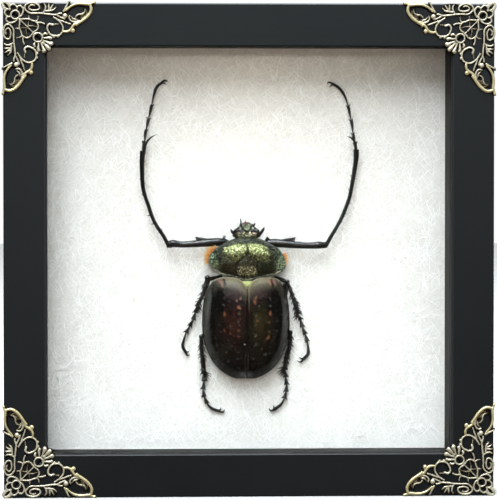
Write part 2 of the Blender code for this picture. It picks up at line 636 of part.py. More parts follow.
def tab_outline():
    # A flat blade with a round tip, from the rabbet's wall inwards
    radius = TAB_WIDTH / 2
    straight = TAB_LENGTH - radius
    outline = [(0.0, radius), (0.0, -radius)]
    for degrees in TAB_TIP_ANGLES:
        angle = math.radians(degrees)
        outline.append((straight + math.cos(angle) * radius, math.sin(angle) * radius))
    return outline


def make_tabs():
    wall_x = FRAME_WIDTH / 2 - RAIL_WIDTH + LIP_WIDTH - GAP
    wall_z = FRAME_HEIGHT / 2 - RAIL_WIDTH + LIP_WIDTH - GAP
    middle_y = TAB_Y + TAB_THICKNESS / 2
    places = (
        ("left", (-wall_x, 0.0), (0, 1), 0), ("right", (wall_x, 0.0), (0, 1), 2),
        ("bottom", (0.0, -wall_z), (1, 0), 1), ("top", (0.0, wall_z), (1, 0), 3),
    )
    for side, (x, z), (along_x, along_z), quarter_turns in places:
        turn = Matrix.Rotation(quarter_turns * math.pi / 2, 2)
        outline = [tuple(turn @ Vector(point)) for point in tab_outline()]
        for number, shift in enumerate((-TABS_FROM_CENTRE, TABS_FROM_CENTRE), start=1):
            name = f"retaining_tab_{side}_{number}"
            centre = (x + shift * along_x, middle_y, CENTRE_Z + z + shift * along_z)
            add_plate(name, [outline], TAB_THICKNESS, "spring_steel", centre)


def circle_points(centre, radius, count):
    steps = (2 * math.pi * i / count for i in range(count))
    return [(centre[0] + radius * math.cos(a), centre[1] + radius * math.sin(a)) for a in steps]


def make_hanger():
    half_length = HANGER_LENGTH / 2
    pitch = TOOTHED_LENGTH / HANGER_TEETH
    outline = [(-half_length, 0.0), (-TOOTHED_LENGTH / 2, 0.0)]
    for tooth in range(HANGER_TEETH):
        start = -TOOTHED_LENGTH / 2 + tooth * pitch
        outline += [(start + pitch / 2, TOOTH_DEPTH), (start + pitch, 0.0)]
    outline += [(half_length, 0.0), (half_length, HANGER_HEIGHT), (-half_length, HANGER_HEIGHT)]
    holes = [
        circle_points((side * NAIL_FROM_CENTRE, NAIL_ABOVE_TEETH), NAIL_HOLE_RADIUS, ROUND_STEPS)
        for side in (-1, 1)
    ]
    base_z = FRAME_HEIGHT - RAIL_WIDTH + LIP_WIDTH + HANGER_ABOVE_RABBET
    plate_centre = (0.0, BACK_Y + GAP + HANGER_THICKNESS / 2, base_z)
    add_plate("sawtooth_hanger", [outline] + holes, HANGER_THICKNESS, "spring_steel", plate_centre)

    shank_length = HANGER_THICKNESS + GAP
    nail_length = shank_length + NAIL_HEAD_THICKNESS
    profile = [
        (0.0, 0.0), (NAIL_SHANK_RADIUS, 0.0), (NAIL_SHANK_RADIUS, shank_length),
        (NAIL_HEAD_RADIUS, shank_length), (NAIL_HEAD_RADIUS, nail_length), (0.0, nail_length),
    ]
    for name, side in (("hanger_nail_left", -1), ("hanger_nail_right", 1)):
        nail = add_turned(name, profile, "spring_steel")
        nail.location = (side * NAIL_FROM_CENTRE, BACK_Y + GAP, base_z + NAIL_ABOVE_TEETH)
        nail.rotation_euler = (-math.pi / 2, 0.0, 0.0)


def ornament_outlines():
    other_half = [(away, along) for along, away in reversed(ORNAMENT_HALF[1:-1])]
    outlines = [ORNAMENT_HALF + other_half]
    for opening in ORNAMENT_OPENINGS:
        outlines.append(opening)
        outlines.append([(away, along) for along, away in opening])
    outlines.append(circle_points((FLOWER_AT, FLOWER_AT), FLOWER_HOLE, RING_POINTS))
    outlines.append(circle_points((FAN_AT, FAN_AT), FAN_HOLE, RING_POINTS))
    return outlines


def make_ornaments():
    middle_y = FRONT_Y - GAP - ORNAMENT_THICKNESS / 2
    corners = (
        ("top_left", -1, FRAME_HEIGHT, -1), ("top_right", 1, FRAME_HEIGHT, -1),
        ("bottom_left", -1, ORNAMENT_OVERHANG, 1), ("bottom_right", 1, ORNAMENT_OVERHANG, 1),
    )
    for name, side, edge_z, inward in corners:
        outlines = [
            [(-side * along * MM, inward * away * MM) for along, away in outline]
            for outline in ornament_outlines()
        ]
        centre = (side * FRAME_WIDTH / 2, middle_y, edge_z)
        add_plate(f"corner_ornament_{name}", outlines, ORNAMENT_THICKNESS, "antique_brass", centre)


def wing_half_width(along):
    reach = WING_FRONT_REACH if along < WING_WIDEST_AT else WING_TAIL_REACH
    share = min(abs(along - WING_WIDEST_AT) / reach, 1.0)
    return WING_HALF_WIDTH * (1.0 - share ** WING_ROUNDNESS) ** (1 / WING_ROUNDNESS)


def wing_height(across, along):
    # A dome that falls to a flat rim along the outer edge and the tail
    if along < WING_CROWN_AT:
        crown = 1.0 - WING_FRONT_LOSS * (1.0 - along / WING_CROWN_AT) ** WING_FRONT_POWER
    else:
        share = (along - WING_CROWN_AT) / (WING_LENGTH - WING_CROWN_AT)
        crown = max(1.0 - share ** WING_TAIL_POWERS[0], 0.0) ** WING_TAIL_POWERS[1]
    rim = max(wing_half_width(along) - WING_MARGIN_WIDTH, WING_TAIL_HALF_WIDTH)
    share = min(across / rim, 1.0)
    slope = (1.0 - share ** WING_SIDE_POWERS[0]) ** WING_SIDE_POWERS[1]
    drop = WING_FRONT_DROP * max(1.0 - along / WING_FRONT_DROP_ALONG, 0.0) ** 2
    return WING_MARGIN_HEIGHT + max(WING_CROWN * crown * slope - drop, 0.0)


def make_wing(name, side):
    tail = WING_LENGTH - WING_WIDEST_AT
    rows = list(WING_FRONT_ROWS)
    rows += [WING_WIDEST_AT + tail * math.sin(math.radians(angle)) for angle in WING_TAIL_ANGLES]
    bm = bmesh.new()
    bmesh.ops.create_grid(bm, x_segments=WING_COLUMNS, y_segments=len(rows) - 1, size=0.5)
    for vert in bm.verts:
        share = vert.co.x + 0.5
        along = rows[round((vert.co.y + 0.5) * (len(rows) - 1))]
        notch = WING_NOTCH_WIDTH * (1.0 - along / WING_NOTCH_LENGTH)
        inner = max(WING_SUTURE, notch)
        across = inner + (wing_half_width(along) - inner) * math.sin(share * math.pi / 2)
        dip_across = max(1.0 - across / WING_DIP_ACROSS, 0.0)
        dip_along = max(1.0 - along / WING_DIP_ALONG, 0.0)
        up = WING_BASE - along - WING_DIP * dip_across * dip_along
        vert.co = Vector((side * across, -wing_height(across, along), up)) * MM
    if side > 0:
        bmesh.ops.reverse_faces(bm, faces=bm.faces)
    mesh = mesh_from(bm, name)
    mesh.shade_smooth()
    wing = add_object(name, mesh, "brown_shell", beetle)
    shell = wing.modifiers.new("shell", "SOLIDIFY")
    shell.thickness = WING_THICKNESS * MM
    shell.offset = -1.0
    return wing


def pronotum_relief(x, z):
    lift = 0.0
    for height, across, up, half_width, half_length in PRONOTUM_BUMPS:
        from_x = (x - BEETLE_AXIS - across) / half_width
        from_z = (z - up) / half_length
        lift += height * math.exp(-from_x ** 2 - from_z ** 2)
    return lift


def head_relief(x, z):
    return HEAD_SLOPE * (HEAD_SLOPE_FROM - z)


def rounded(value):
    return math.copysign(abs(value) ** BODY_SQUARENESS, value)


def make_body():
    centre = (BEETLE_AXIS, PRONOTUM_CENTRE)
    outline = both_sides(PRONOTUM_HALF, BEETLE_AXIS)
    loft("prothorax", stacked_rings(outline, centre, PRONOTUM_LEVELS, pronotum_relief), "green_shell")

    centre = (BEETLE_AXIS, HEAD_CENTRE)
    outline = both_sides(HEAD_HALF, BEETLE_AXIS)
    loft("head", stacked_rings(outline, centre, HEAD_LEVELS, head_relief), "green_shell")

    outline = []
    for step in range(BODY_POINTS):
        angle = 2 * math.pi * step / BODY_POINTS
        across = BODY_HALF_WIDTH * rounded(math.cos(angle))
        outline.append((across, BODY_CENTRE + BODY_HALF_LENGTH * rounded(math.sin(angle))))
    loft("thorax_and_abdomen", stacked_rings(outline, (0.0, BODY_CENTRE), BODY_LEVELS), "black_shell")

    for name, outline in TUFTS.items():
        centre = tuple(sum(values) / len(outline) for values in zip(*outline))
        loft(name, stacked_rings(outline, centre, TUFT_LEVELS), "orange_hair")


def make_scutellum():
    outline = [(x * MM, z * MM) for x, z in both_sides(SCUTELLUM_HALF, BEETLE_AXIS)]
    middle = -(SCUTELLUM_HEIGHT + SCUTELLUM_THICKNESS / 2) * MM
    centre = (0.0, middle, SCUTELLUM_TOP * MM)
    shield = add_plate("scutellum", [outline], SCUTELLUM_THICKNESS * MM, "pale_shell", centre)
    shield.parent = beetle


def make_legs():
    for leg, pieces in LEGS.items():
        add_limb(f"{leg}_femur", pieces["femur"], THICK_TUBE_SIDES, pieces["femur_teeth"])
        add_limb(f"{leg}_tibia", pieces["tibia"], THICK_TUBE_SIDES, pieces["tibia_teeth"])
        add_limb(f"{leg}_tarsus", pieces["tarsus"], THIN_TUBE_SIDES, pieces["claws"])
    for name, path in FEELERS.items():
        add_limb(name, path, THIN_TUBE_SIDES)


clear_scene()
parts = new_collection("framed_long_armed_scarab")
cutters = new_collection("cutters")
beetle = bpy.data.objects.new("beetle_place", None)
beetle.location = (0.0, PAPER_Y, CENTRE_Z)
parts.objects.link(beetle)
make_frame()
make_filling()
make_tabs()
make_hanger()
make_ornaments()
make_body()
make_wing("elytron_left", -1)
make_wing("elytron_right", 1)
make_scutellum()
make_legs()
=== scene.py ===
import math

import bpy
import numpy as np
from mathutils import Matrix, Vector


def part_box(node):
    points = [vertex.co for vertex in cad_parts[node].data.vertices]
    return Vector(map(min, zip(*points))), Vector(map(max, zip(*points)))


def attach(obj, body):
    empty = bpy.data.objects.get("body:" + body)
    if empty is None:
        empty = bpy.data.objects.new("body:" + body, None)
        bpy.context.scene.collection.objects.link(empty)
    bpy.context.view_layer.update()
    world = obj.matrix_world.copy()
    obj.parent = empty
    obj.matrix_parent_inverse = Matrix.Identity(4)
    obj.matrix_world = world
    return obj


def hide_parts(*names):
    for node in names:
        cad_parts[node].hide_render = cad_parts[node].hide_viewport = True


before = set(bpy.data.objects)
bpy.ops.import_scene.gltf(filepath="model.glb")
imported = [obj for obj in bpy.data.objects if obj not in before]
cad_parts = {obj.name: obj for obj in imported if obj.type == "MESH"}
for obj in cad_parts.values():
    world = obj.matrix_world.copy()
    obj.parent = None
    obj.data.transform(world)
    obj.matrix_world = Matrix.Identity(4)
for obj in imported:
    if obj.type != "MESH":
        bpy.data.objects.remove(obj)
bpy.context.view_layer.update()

scene = bpy.context.scene
scene.view_settings.view_transform = "Standard"

mm = 0.001
paperLow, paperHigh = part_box("backing_paper")
paperFront = paperLow.y
middleHeight = (paperLow.z + paperHigh.z) / 2
openingHalf = -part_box("frame_rail_left")[1].x

beetleShift = (-0.72, 0.22)  # from its drawn place to the photograph's, across and up
beetleSquash = 0.994  # up and down


# Modelling helpers

def pickOnly(*pieces):
    if bpy.context.mode != "OBJECT":
        bpy.ops.object.mode_set(mode="OBJECT")
    bpy.ops.object.select_all(action="DESELECT")
    for piece in pieces:
        piece.select_set(True)
    bpy.context.view_layer.objects.active = pieces[0]


def editWhole(piece):
    # Edit mode with the whole mesh selected
    pickOnly(piece)
    bpy.ops.object.mode_set(mode="EDIT")
    bpy.ops.mesh.select_all(action="SELECT")


def leaveEdit():
    bpy.ops.object.mode_set(mode="OBJECT")


def settle(piece):
    # Its place, turn and size go into its mesh
    pickOnly(piece)
    bpy.ops.object.transform_apply(location=True, rotation=True, scale=True)


def applyModifiers(piece):
    pickOnly(piece)
    for modifier in list(piece.modifiers):
        bpy.ops.object.modifier_apply(modifier=modifier.name)


def faceOutwards(piece, mergeWithin=None):
    editWhole(piece)
    if mergeWithin:
        bpy.ops.mesh.remove_doubles(threshold=mergeWithin)
    bpy.ops.mesh.normals_make_consistent(inside=False)
    leaveEdit()


def joinPieces(pieces, name):
    pickOnly(*pieces)
    if len(pieces) > 1:
        bpy.ops.object.join()
    joined = bpy.context.object
    joined.name = joined.data.name = name
    return joined


def addPiece(name, mesh):
    piece = bpy.data.objects.new(name, mesh)
    scene.collection.objects.link(piece)
    return piece


def addBall(segments, rings, radius, place, scale=(1, 1, 1)):
    # A ball, or an egg where its scale says so
    bpy.ops.mesh.primitive_uv_sphere_add(segments=segments, ring_count=rings, radius=radius,
                                         location=place, scale=scale)
    return bpy.context.object


def finishPiece(piece, name, finish, replaced=(), smoothAngle=None):
    settle(piece)
    if smoothAngle is None:
        bpy.ops.object.shade_smooth()
    else:
        bpy.ops.object.shade_smooth_by_angle(angle=math.radians(smoothAngle))
    piece.name = piece.data.name = name
    piece.data.materials.clear()
    piece.data.materials.append(materials[finish])
    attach(piece, "root")
    if replaced:
        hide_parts(*replaced)


def getPlaces(piece):
    places = np.empty(len(piece.data.vertices) * 3, np.float32)
    piece.data.vertices.foreach_get("co", places)
    return places.reshape(-1, 3).astype(float)


def setPlaces(piece, places):
    piece.data.vertices.foreach_set("co", places.astype(np.float32).ravel())
    piece.data.update()


def fromPaper(across, up, out):
    # Millimetres across and up from the paper's middle, and out towards the glass
    across, up, out = np.asarray(across), np.asarray(up), np.asarray(out)
    x = (across + beetleShift[0]) * mm
    z = middleHeight + (up * beetleSquash + beetleShift[1]) * mm
    return np.stack(np.broadcast_arrays(x, paperFront - out * mm, z), axis=-1)


def limbPath(points):
    return [(*fromPaper(x, up, out).tolist(), radius * mm) for x, up, out, radius in points]


# Curves, masks and paint over a surface

def smoothShare(value):
    value = np.clip(value, 0.0, 1.0)
    return value * value * (3.0 - 2.0 * value)


def rise(value, start, width):
    # Nought up to its start, one beyond its width
    return smoothShare((value - start) / width)


def fall(value, end, width):
    # Nought from its end on, one before its width
    return smoothShare((end - value) / width)


def bump(value, centre, width):
    return np.exp(-((value - centre) / width) ** 2)


def domeOf(share, inner, outer):
    # One in the middle and nought at the edge
    return np.clip(1.0 - np.clip(share, 0, 1) ** inner, 0, 1) ** outer


def unitRows(rows, tiny=1e-12):
    return rows / (np.linalg.norm(rows, axis=-1, keepdims=True) + tiny)


def distanceToLine(x, z, path):
    best = np.full(np.shape(x), 1e9)
    for (x1, z1), (x2, z2) in zip(path[:-1], path[1:]):
        dx, dz = x2 - x1, z2 - z1
        share = np.clip(((x - x1) * dx + (z - z1) * dz) / (dx * dx + dz * dz + 1e-12), 0.0, 1.0)
        best = np.minimum(best, np.hypot(x - x1 - share * dx, z - z1 - share * dz))
    return best


def lineMask(x, z, path, width):
    # One on the line and soft to both sides
    return bump(distanceToLine(x, z, path), 0, width)


def shapeMask(x, z, outline, softness):
    # One inside the outline, nought outside it, with a soft edge
    closed = list(outline) + [outline[0]]
    inside = np.zeros(np.shape(x), bool)
    for (x1, z1), (x2, z2) in zip(closed[:-1], closed[1:]):
        crosses = (z1 > z) != (z2 > z)
        inside ^= crosses & (x < (x2 - x1) * (z - z1) / (z2 - z1 + 1e-12) + x1)
    distance = distanceToLine(x, z, closed)
    return smoothShare(np.where(inside, distance, -distance) / softness + 0.5)


def grainOf(x, z, size, seed):
    # Soft random bumps between -1 and 1, about size wide, on a turned grid
    table = np.random.default_rng(seed).uniform(-1.0, 1.0, (64, 64))
    u, v = (0.83 * x + 0.56 * z) / size, (0.83 * z - 0.56 * x) / size
    i, j = np.floor(u).astype(int), np.floor(v).astype(int)
    s, t = smoothShare(u - i), smoothShare(v - j)
    near, far = (table[i % 64, row % 64] * (1 - s) + table[(i + 1) % 64, row % 64] * s
                 for row in (j, j + 1))
    return near * (1 - t) + far * t


def smoothLoop(points, steps=8):
    # A closed curve through the points
    points = np.array(points, float)
    before, after, later = (np.roll(points, shift, axis=0) for shift in (1, -1, -2))
    loop = [0.5 * (2 * points + (after - before) * t
                   + (2 * before - 5 * points + 4 * after - later) * t ** 2
                   + (3 * points - before - 3 * after + later) * t ** 3)
            for t in np.arange(steps) / steps]
    return np.stack(loop, axis=1).reshape(-1, 2)


def eyeColour(red, green, blue):
    # A colour as it is seen, 0 to 255, as the renderer's linear values
    return tuple((value / 255) ** 2.2 for value in (red, green, blue)) + (1.0,)


def freshPaint(count, colour):
    return np.tile(eyeColour(*colour), (count, 1))


def layPaint(colours, mask, colour):
    mask = np.asarray(mask)[:, None]
    colours[:] = colours * (1 - mask) + np.array(eyeColour(*colour)) * mask


def layCoats(colours, *coats):
    # One over the other: where and how strongly each lies, and its colour
    for mask, colour in coats:
        layPaint(colours, mask, colour)


def roughen(colours, grain, low, high):
    # Darker and lighter with the grain, within limits
    colours[:, :3] *= np.clip(1.0 + grain, low, high)[:, None]


def storePaint(piece, colours):
    paint = piece.data.color_attributes.new(name="paint", type="FLOAT_COLOR", domain="POINT")
    paint.data.foreach_set("color", np.clip(colours, 0, 1).astype(np.float32).ravel())


def storeValue(piece, values, name):
    layer = piece.data.attributes.new(name=name, type="FLOAT", domain="POINT")
    layer.data.foreach_set("value", np.asarray(values, np.float32))


def drawStrokes(strokes, sides, steps):
    # Round bars through points of (x, y, z, radius) in metres, as one mesh
    bpy.ops.curve.primitive_bezier_curve_add(location=(0, 0, 0))
    line = bpy.context.object
    line.data.splines.clear()
    line.data.dimensions = "3D"
    line.data.bevel_depth = 1.0
    line.data.bevel_resolution = sides
    line.data.resolution_u = steps
    line.data.use_fill_caps = True
    for stroke in strokes:
        spline = line.data.splines.new("BEZIER")
        spline.radius_interpolation = "CARDINAL"
        spline.bezier_points.add(len(stroke) - 1)
        for point, (x, y, z, radius) in zip(spline.bezier_points, stroke):
            point.co = (x, y, z)
            point.radius = radius
    pickOnly(line)
    bpy.ops.object.mode_set(mode="EDIT")
    bpy.ops.curve.select_all(action="SELECT")
    bpy.ops.curve.handle_type_set(type="AUTOMATIC")
    leaveEdit()
    bpy.ops.object.convert(target="MESH")
    return bpy.context.object


def stripFaces(count, steps, columns, closed):
    # Four-sided faces over many strips, each of some rows of columns
    start = np.arange(count)[:, None, None] * steps * columns
    row = np.arange(steps - 1)[None, :, None] * columns
    side = np.arange(columns if closed else columns - 1)[None, None, :]
    onward = (side + 1) % columns
    corners = [start + row + side, start + row + onward,
               start + row + columns + onward, start + row + columns + side]
    return np.stack(corners, axis=-1).reshape(-1, 4)


def makeHairs(name, paths, rootRadius, tipRadius, sides=3):
    # Thin tapered hairs along paths of shape (hairs, steps, 3), as one mesh
    count, steps, _ = paths.shape
    along = unitRows(np.gradient(paths, axis=1))
    across = unitRows(np.cross(along, np.array([0.37, -0.79, 0.49])))
    upright = np.cross(along, across)
    radius = np.linspace(1.0, 0.0, steps)[None, :, None, None] * (rootRadius - tipRadius)
    radius = radius + tipRadius
    turn = (2 * math.pi * np.arange(sides) / sides)[None, None, :, None]
    rings = paths[:, :, None, :] + radius * (
        np.cos(turn) * across[:, :, None, :] + np.sin(turn) * upright[:, :, None, :])
    root = np.arange(count)[:, None] * steps * sides
    ring = np.arange(sides)[None, :]
    caps = np.concatenate([root + ring[:, ::-1], root + (steps - 1) * sides + ring])
    mesh = bpy.data.meshes.new(name)
    mesh.from_pydata(rings.reshape(-1, 3).tolist(), [],
                     stripFaces(count, steps, sides, True).tolist() + caps.tolist())
    piece = addPiece(name, mesh)
    reach = np.broadcast_to(np.linspace(0.0, 1.0, steps)[None, :, None], (count, steps, sides))
    storeValue(piece, reach.ravel(), "reach")
    faceOutwards(piece)
    return piece


# Shader helpers and the effects that several finishes share

def plug(tree, socket, value):
    # A link where the value comes from a node, else a fixed value
    if isinstance(value, bpy.types.NodeSocket):
        tree.links.new(value, socket)
    else:
        socket.default_value = value


def addNode(tree, kind, values=None, **settings):
    node = tree.nodes.new("ShaderNode" + kind)
    for setting, value in settings.items():
        setattr(node, setting, value)
    for socket, value in (values or {}).items():
        plug(tree, node.inputs[socket], value)
    return node


def mathOf(tree, operation, first, second=0.0, clamped=False):
    return addNode(tree, "Math", {0: first, 1: second}, operation=operation,
                   use_clamp=clamped).outputs[0]


def plus(tree, first, second, clamped=False):
    return mathOf(tree, "ADD", first, second, clamped)


def minus(tree, first, second, clamped=False):
    return mathOf(tree, "SUBTRACT", first, second, clamped)


def times(tree, first, second, clamped=False):
    return mathOf(tree, "MULTIPLY", first, second, clamped)


def mixColours(tree, share, first, second, way="MIX"):
    return addNode(tree, "Mix", {0: share, 6: first, 7: second}, data_type="RGBA",
                   blend_type=way).outputs[2]


def tinted(tree, colour, amount):
    # The colour made lighter or darker by an amount about one
    grey = addNode(tree, "CombineColor", {0: amount, 1: amount, 2: amount}).outputs[0]
    return mixColours(tree, 1.0, colour, grey, "MULTIPLY")


def rangeOf(tree, value, fromLow, fromHigh, toLow=0.0, toHigh=1.0):
    return addNode(tree, "MapRange", {
        "Value": value, "From Min": fromLow, "From Max": fromHigh,
        "To Min": toLow, "To Max": toHigh}).outputs[0]


def partsOf(tree, vector):
    return addNode(tree, "SeparateXYZ", {0: vector}).outputs


def attributeOf(tree, name, output="Fac"):
    return addNode(tree, "Attribute", attribute_name=name).outputs[output]


def objectPlace(tree, scale=None):
    place = addNode(tree, "TexCoord").outputs["Object"]
    if scale is None:
        return place
    return addNode(tree, "Mapping", {"Vector": place, "Scale": scale}).outputs[0]


def noiseOf(tree, scale, detail, roughness, place=None):
    return addNode(tree, "TexNoise", {
        "Vector": place or objectPlace(tree), "Scale": scale, "Detail": detail,
        "Roughness": roughness}).outputs[0]


def newGroup(name, inputs, outputs):
    group = bpy.data.node_groups.new(name, "ShaderNodeTree")
    for label, value in inputs.items():
        socket = group.interface.new_socket(label, in_out="INPUT", socket_type="NodeSocketFloat")
        socket.default_value = value
    for label in outputs:
        group.interface.new_socket(label, in_out="OUTPUT", socket_type="NodeSocketFloat")
    given = group.nodes.new("NodeGroupInput").outputs
    result = group.nodes.new("NodeGroupOutput").inputs
    return group, given, result


def useGroup(tree, group, **values):
    node = tree.nodes.new("ShaderNodeGroup")
    node.node_tree = group
    for socket, value in values.items():
        plug(tree, node.inputs[socket], value)
    return node.outputs


def makeMottleGroup():
    # Cloudy variation about one, for colours and roughness
    group, given, result = newGroup("mottle", {"Size": 60.0, "Strength": 0.3}, ["Amount"])
    centred = minus(group, noiseOf(group, given["Size"], 4.0, 0.6), 0.5)
    plug(group, result["Amount"], plus(group, times(group, centred, given["Strength"]), 1.0))
    return group


def makeDustGroup():
    # Sparse pale specks and a thin film on what faces up
    group, given, result = newGroup("dust", {"Size": 1500.0, "Amount": 0.2}, ["Mask"])
    specks = noiseOf(group, given["Size"], 2.0, 0.7)
    patches = noiseOf(group, 90.0, 2.0, 0.5)
    up = partsOf(group, addNode(group, "NewGeometry").outputs["Normal"])["Z"]
    facing = rangeOf(group, up, -0.2, 1.0, 0.25, 1.0)
    sparse = rangeOf(group, specks, 0.55, 0.75)
    mask = times(group, times(group, sparse, facing), patches)
    plug(group, result["Mask"], times(group, mask, given["Amount"], True))
    return group


def makePitsGroup():
    # Small round punctures: a height that is one between them, and a mask of the pits
    group, given, result = newGroup("punctures", {"Size": 2500.0, "Width": 0.35},
                                    ["Height", "Pits"])
    cells = addNode(group, "TexVoronoi", {
        "Vector": objectPlace(group), "Scale": given["Size"], "Randomness": 0.85})
    share = mathOf(group, "DIVIDE", cells.outputs["Distance"], given["Width"], True)
    plug(group, result["Height"], share)
    plug(group, result["Pits"], minus(group, 1.0, share, True))
    return group


def makeStreaksGroup():
    # Long fine streaks along one of the object's axes
    group, given, result = newGroup("streaks", {"AcrossX": 900.0, "AcrossY": 900.0,
                                                "AcrossZ": 60.0}, ["Height"])
    scale = addNode(group, "CombineXYZ", {
        0: given["AcrossX"], 1: given["AcrossY"], 2: given["AcrossZ"]}).outputs[0]
    stretched = addNode(group, "VectorMath", {0: objectPlace(group), 1: scale},
                        operation="MULTIPLY").outputs[0]
    plug(group, result["Height"], noiseOf(group, 1.0, 4.0, 0.6, stretched))
    return group


mottle = makeMottleGroup()
dust = makeDustGroup()
punctures = makePitsGroup()
streaks = makeStreaksGroup()
socketNames = {"color": "Base Color", "rough": "Roughness", "metal": "Metallic",
               "coat": "Coat Weight", "coatRough": "Coat Roughness", "sheen": "Sheen Weight",
               "specular": "Specular IOR Level", "normal": "Normal"}


def newMaterial(name):
    material = bpy.data.materials.new(name)
    material.use_nodes = True
    return material, material.node_tree, material.node_tree.nodes["Principled BSDF"]


def feed(tree, shader, **values):
    for name, value in values.items():
        plug(tree, shader.inputs[socketNames[name]], value)


def bumpOf(tree, height, distance, strength):
    return addNode(tree, "Bump", {"Height": height, "Distance": distance,
                                  "Strength": strength}).outputs[0]


# Finishes of the frame, the glass, the paper and the back

def makeBlackPaint():
    look = {"black": eyeColour(16, 17, 17), "dusty": eyeColour(62, 63, 62),
            "deep": eyeColour(9, 9, 9), "rough": 0.3, "dull": 0.95, "pore": 0.00002,
            "jointWidth": (0.0004, 0.001), "shadedInsideWidth": (0.0006, 0.0012)}
    material, tree, shader = newMaterial("satin black paint")
    cloud = useGroup(tree, mottle, Size=25.0, Strength=0.3)["Amount"]
    film = useGroup(tree, dust, Size=900.0, Amount=0.2)["Mask"]
    grain = useGroup(tree, streaks, AcrossX=500.0, AcrossY=500.0, AcrossZ=500.0)["Height"]
    # dark and dull in the joints between the rails; on the faces inside the opening the darker colour
    # is painted shade
    place = partsOf(tree, objectPlace(tree))
    across = mathOf(tree, "ABSOLUTE", place["X"])
    up = mathOf(tree, "ABSOLUTE", minus(tree, place["Z"], middleHeight))
    joint = rangeOf(tree, mathOf(tree, "ABSOLUTE", minus(tree, across, up)),
                    *look["jointWidth"], 1.0, 0.0)
    start, stop = (openingHalf + width for width in look["shadedInsideWidth"])
    inside = rangeOf(tree, mathOf(tree, "MAXIMUM", across, up), start, stop, 1.0, 0.0)
    dull = mathOf(tree, "MAXIMUM", joint, inside)
    rough = mathOf(tree, "MAXIMUM", times(tree, cloud, look["rough"]),
                   times(tree, dull, look["dull"]))
    color = mixColours(tree, film, tinted(tree, look["black"], cloud), look["dusty"])
    feed(tree, shader, color=mixColours(tree, dull, color, look["deep"]), rough=rough,
         specular=0.9, normal=bumpOf(tree, grain, look["pore"], 0.5))
    return material


def makeClearGlass():
    look = {"tint": (0.985, 0.995, 0.99, 1.0), "index": 1.12, "wave": 0.00002,
            "shadow": (0.97, 0.98, 0.975, 1.0)}
    material, tree, shader = newMaterial("clear glass")
    for socket, value in (("Base Color", look["tint"]), ("Roughness", 0.0),
                          ("IOR", look["index"]), ("Transmission Weight", 1.0)):
        shader.inputs[socket].default_value = value
    feed(tree, shader, normal=bumpOf(tree, noiseOf(tree, 8.0, 2.0, 0.4), look["wave"], 0.3))
    through = addNode(tree, "BsdfTransparent", {"Color": look["shadow"]})
    rays = addNode(tree, "LightPath")
    mixed = addNode(tree, "MixShader", {
        0: rays.outputs["Is Shadow Ray"], 1: shader.outputs[0], 2: through.outputs[0]})
    plug(tree, tree.nodes["Material Output"].inputs["Surface"], mixed.outputs[0])
    return material


def makeFibrePaper():
    # strokes pressed into the paper: turn, width and length
    look = {"white": eyeColour(240, 239, 235), "shade": eyeColour(206, 204, 197),
            "strokes": [(0.72, 0.0002, 0.0036), (-0.78, 0.0002, 0.0032), (0.25, 0.00022, 0.004),
                        (-1.3, 0.0002, 0.0036), (1.2, 0.0002, 0.003)],
            "strokeDepth": 0.004, "relief": 0.00009}
    material, tree, shader = newMaterial("fibre paper")
    strokes = 0.0
    for angle, width, length in look["strokes"]:
        place = addNode(tree, "Mapping", {
            "Vector": objectPlace(tree), "Rotation": (0.0, angle, 0.0),
            "Scale": (width, look["strokeDepth"], length)}, vector_type="TEXTURE").outputs[0]
        stroke = rangeOf(tree, noiseOf(tree, 1.0, 1.0, 0.4, place), 0.5, 0.68)
        strokes = mathOf(tree, "MAXIMUM", strokes, stroke)
    height = plus(tree, strokes, times(tree, noiseOf(tree, 1500.0, 3.0, 0.6), 0.5))
    clouds = noiseOf(tree, 110.0, 3.0, 0.6)
    tone = plus(tree, times(tree, height, 0.5), times(tree, clouds, 0.5))
    color = mixColours(tree, rangeOf(tree, tone, 0.3, 0.95), look["shade"], look["white"])
    feed(tree, shader, color=color, rough=0.85, specular=0.2,
         normal=bumpOf(tree, height, look["relief"], 0.7))
    return material


def makeFibreStrands():
    material, tree, shader = newMaterial("paper strands")
    cloud = useGroup(tree, mottle, Size=400.0, Strength=0.12)["Amount"]
    feed(tree, shader, color=tinted(tree, eyeColour(255, 255, 253), cloud), rough=0.6,
         specular=0.4, sheen=0.2)
    return material


def makeFlecked(name, look):
    # Pressed board or card: stretched flecks, with soft clouds where it has a share of them
    material, tree, shader = newMaterial(name)
    flecks = share = noiseOf(tree, *look["flecks"], objectPlace(tree, look["stretch"]))
    if look["clouds"]:
        share = plus(tree, times(tree, flecks, 1.0 - look["clouds"]),
                     times(tree, noiseOf(tree, 45.0, 3.0, 0.55), look["clouds"]))
    color = mixColours(tree, rangeOf(tree, share, *look["range"]), look["dark"], look["light"])
    feed(tree, shader, color=color, rough=look["rough"], specular=look["specular"],
         normal=bumpOf(tree, flecks, *look["bump"]))
    return material


def makeZincSteel():
    look = {"steel": eyeColour(186, 188, 190), "dull": eyeColour(140, 140, 138)}
    material, tree, shader = newMaterial("zinc plated steel")
    spangle = addNode(tree, "TexVoronoi", {
        "Vector": objectPlace(tree), "Scale": 420.0}).outputs["Color"]
    tone = addNode(tree, "SeparateColor", {0: spangle}).outputs[0]
    rolled = useGroup(tree, streaks, AcrossX=160.0, AcrossY=900.0, AcrossZ=4200.0)["Height"]
    share = plus(tree, times(tree, tone, 0.5), times(tree, rolled, 0.5))
    feed(tree, shader, color=mixColours(tree, share, look["dull"], look["steel"]), metal=0.6,
         rough=rangeOf(tree, share, 0.0, 1.0, 0.28, 0.5),
         normal=bumpOf(tree, rolled, 0.00001, 0.4))
    return material


# Finishes of the beetle and the brass

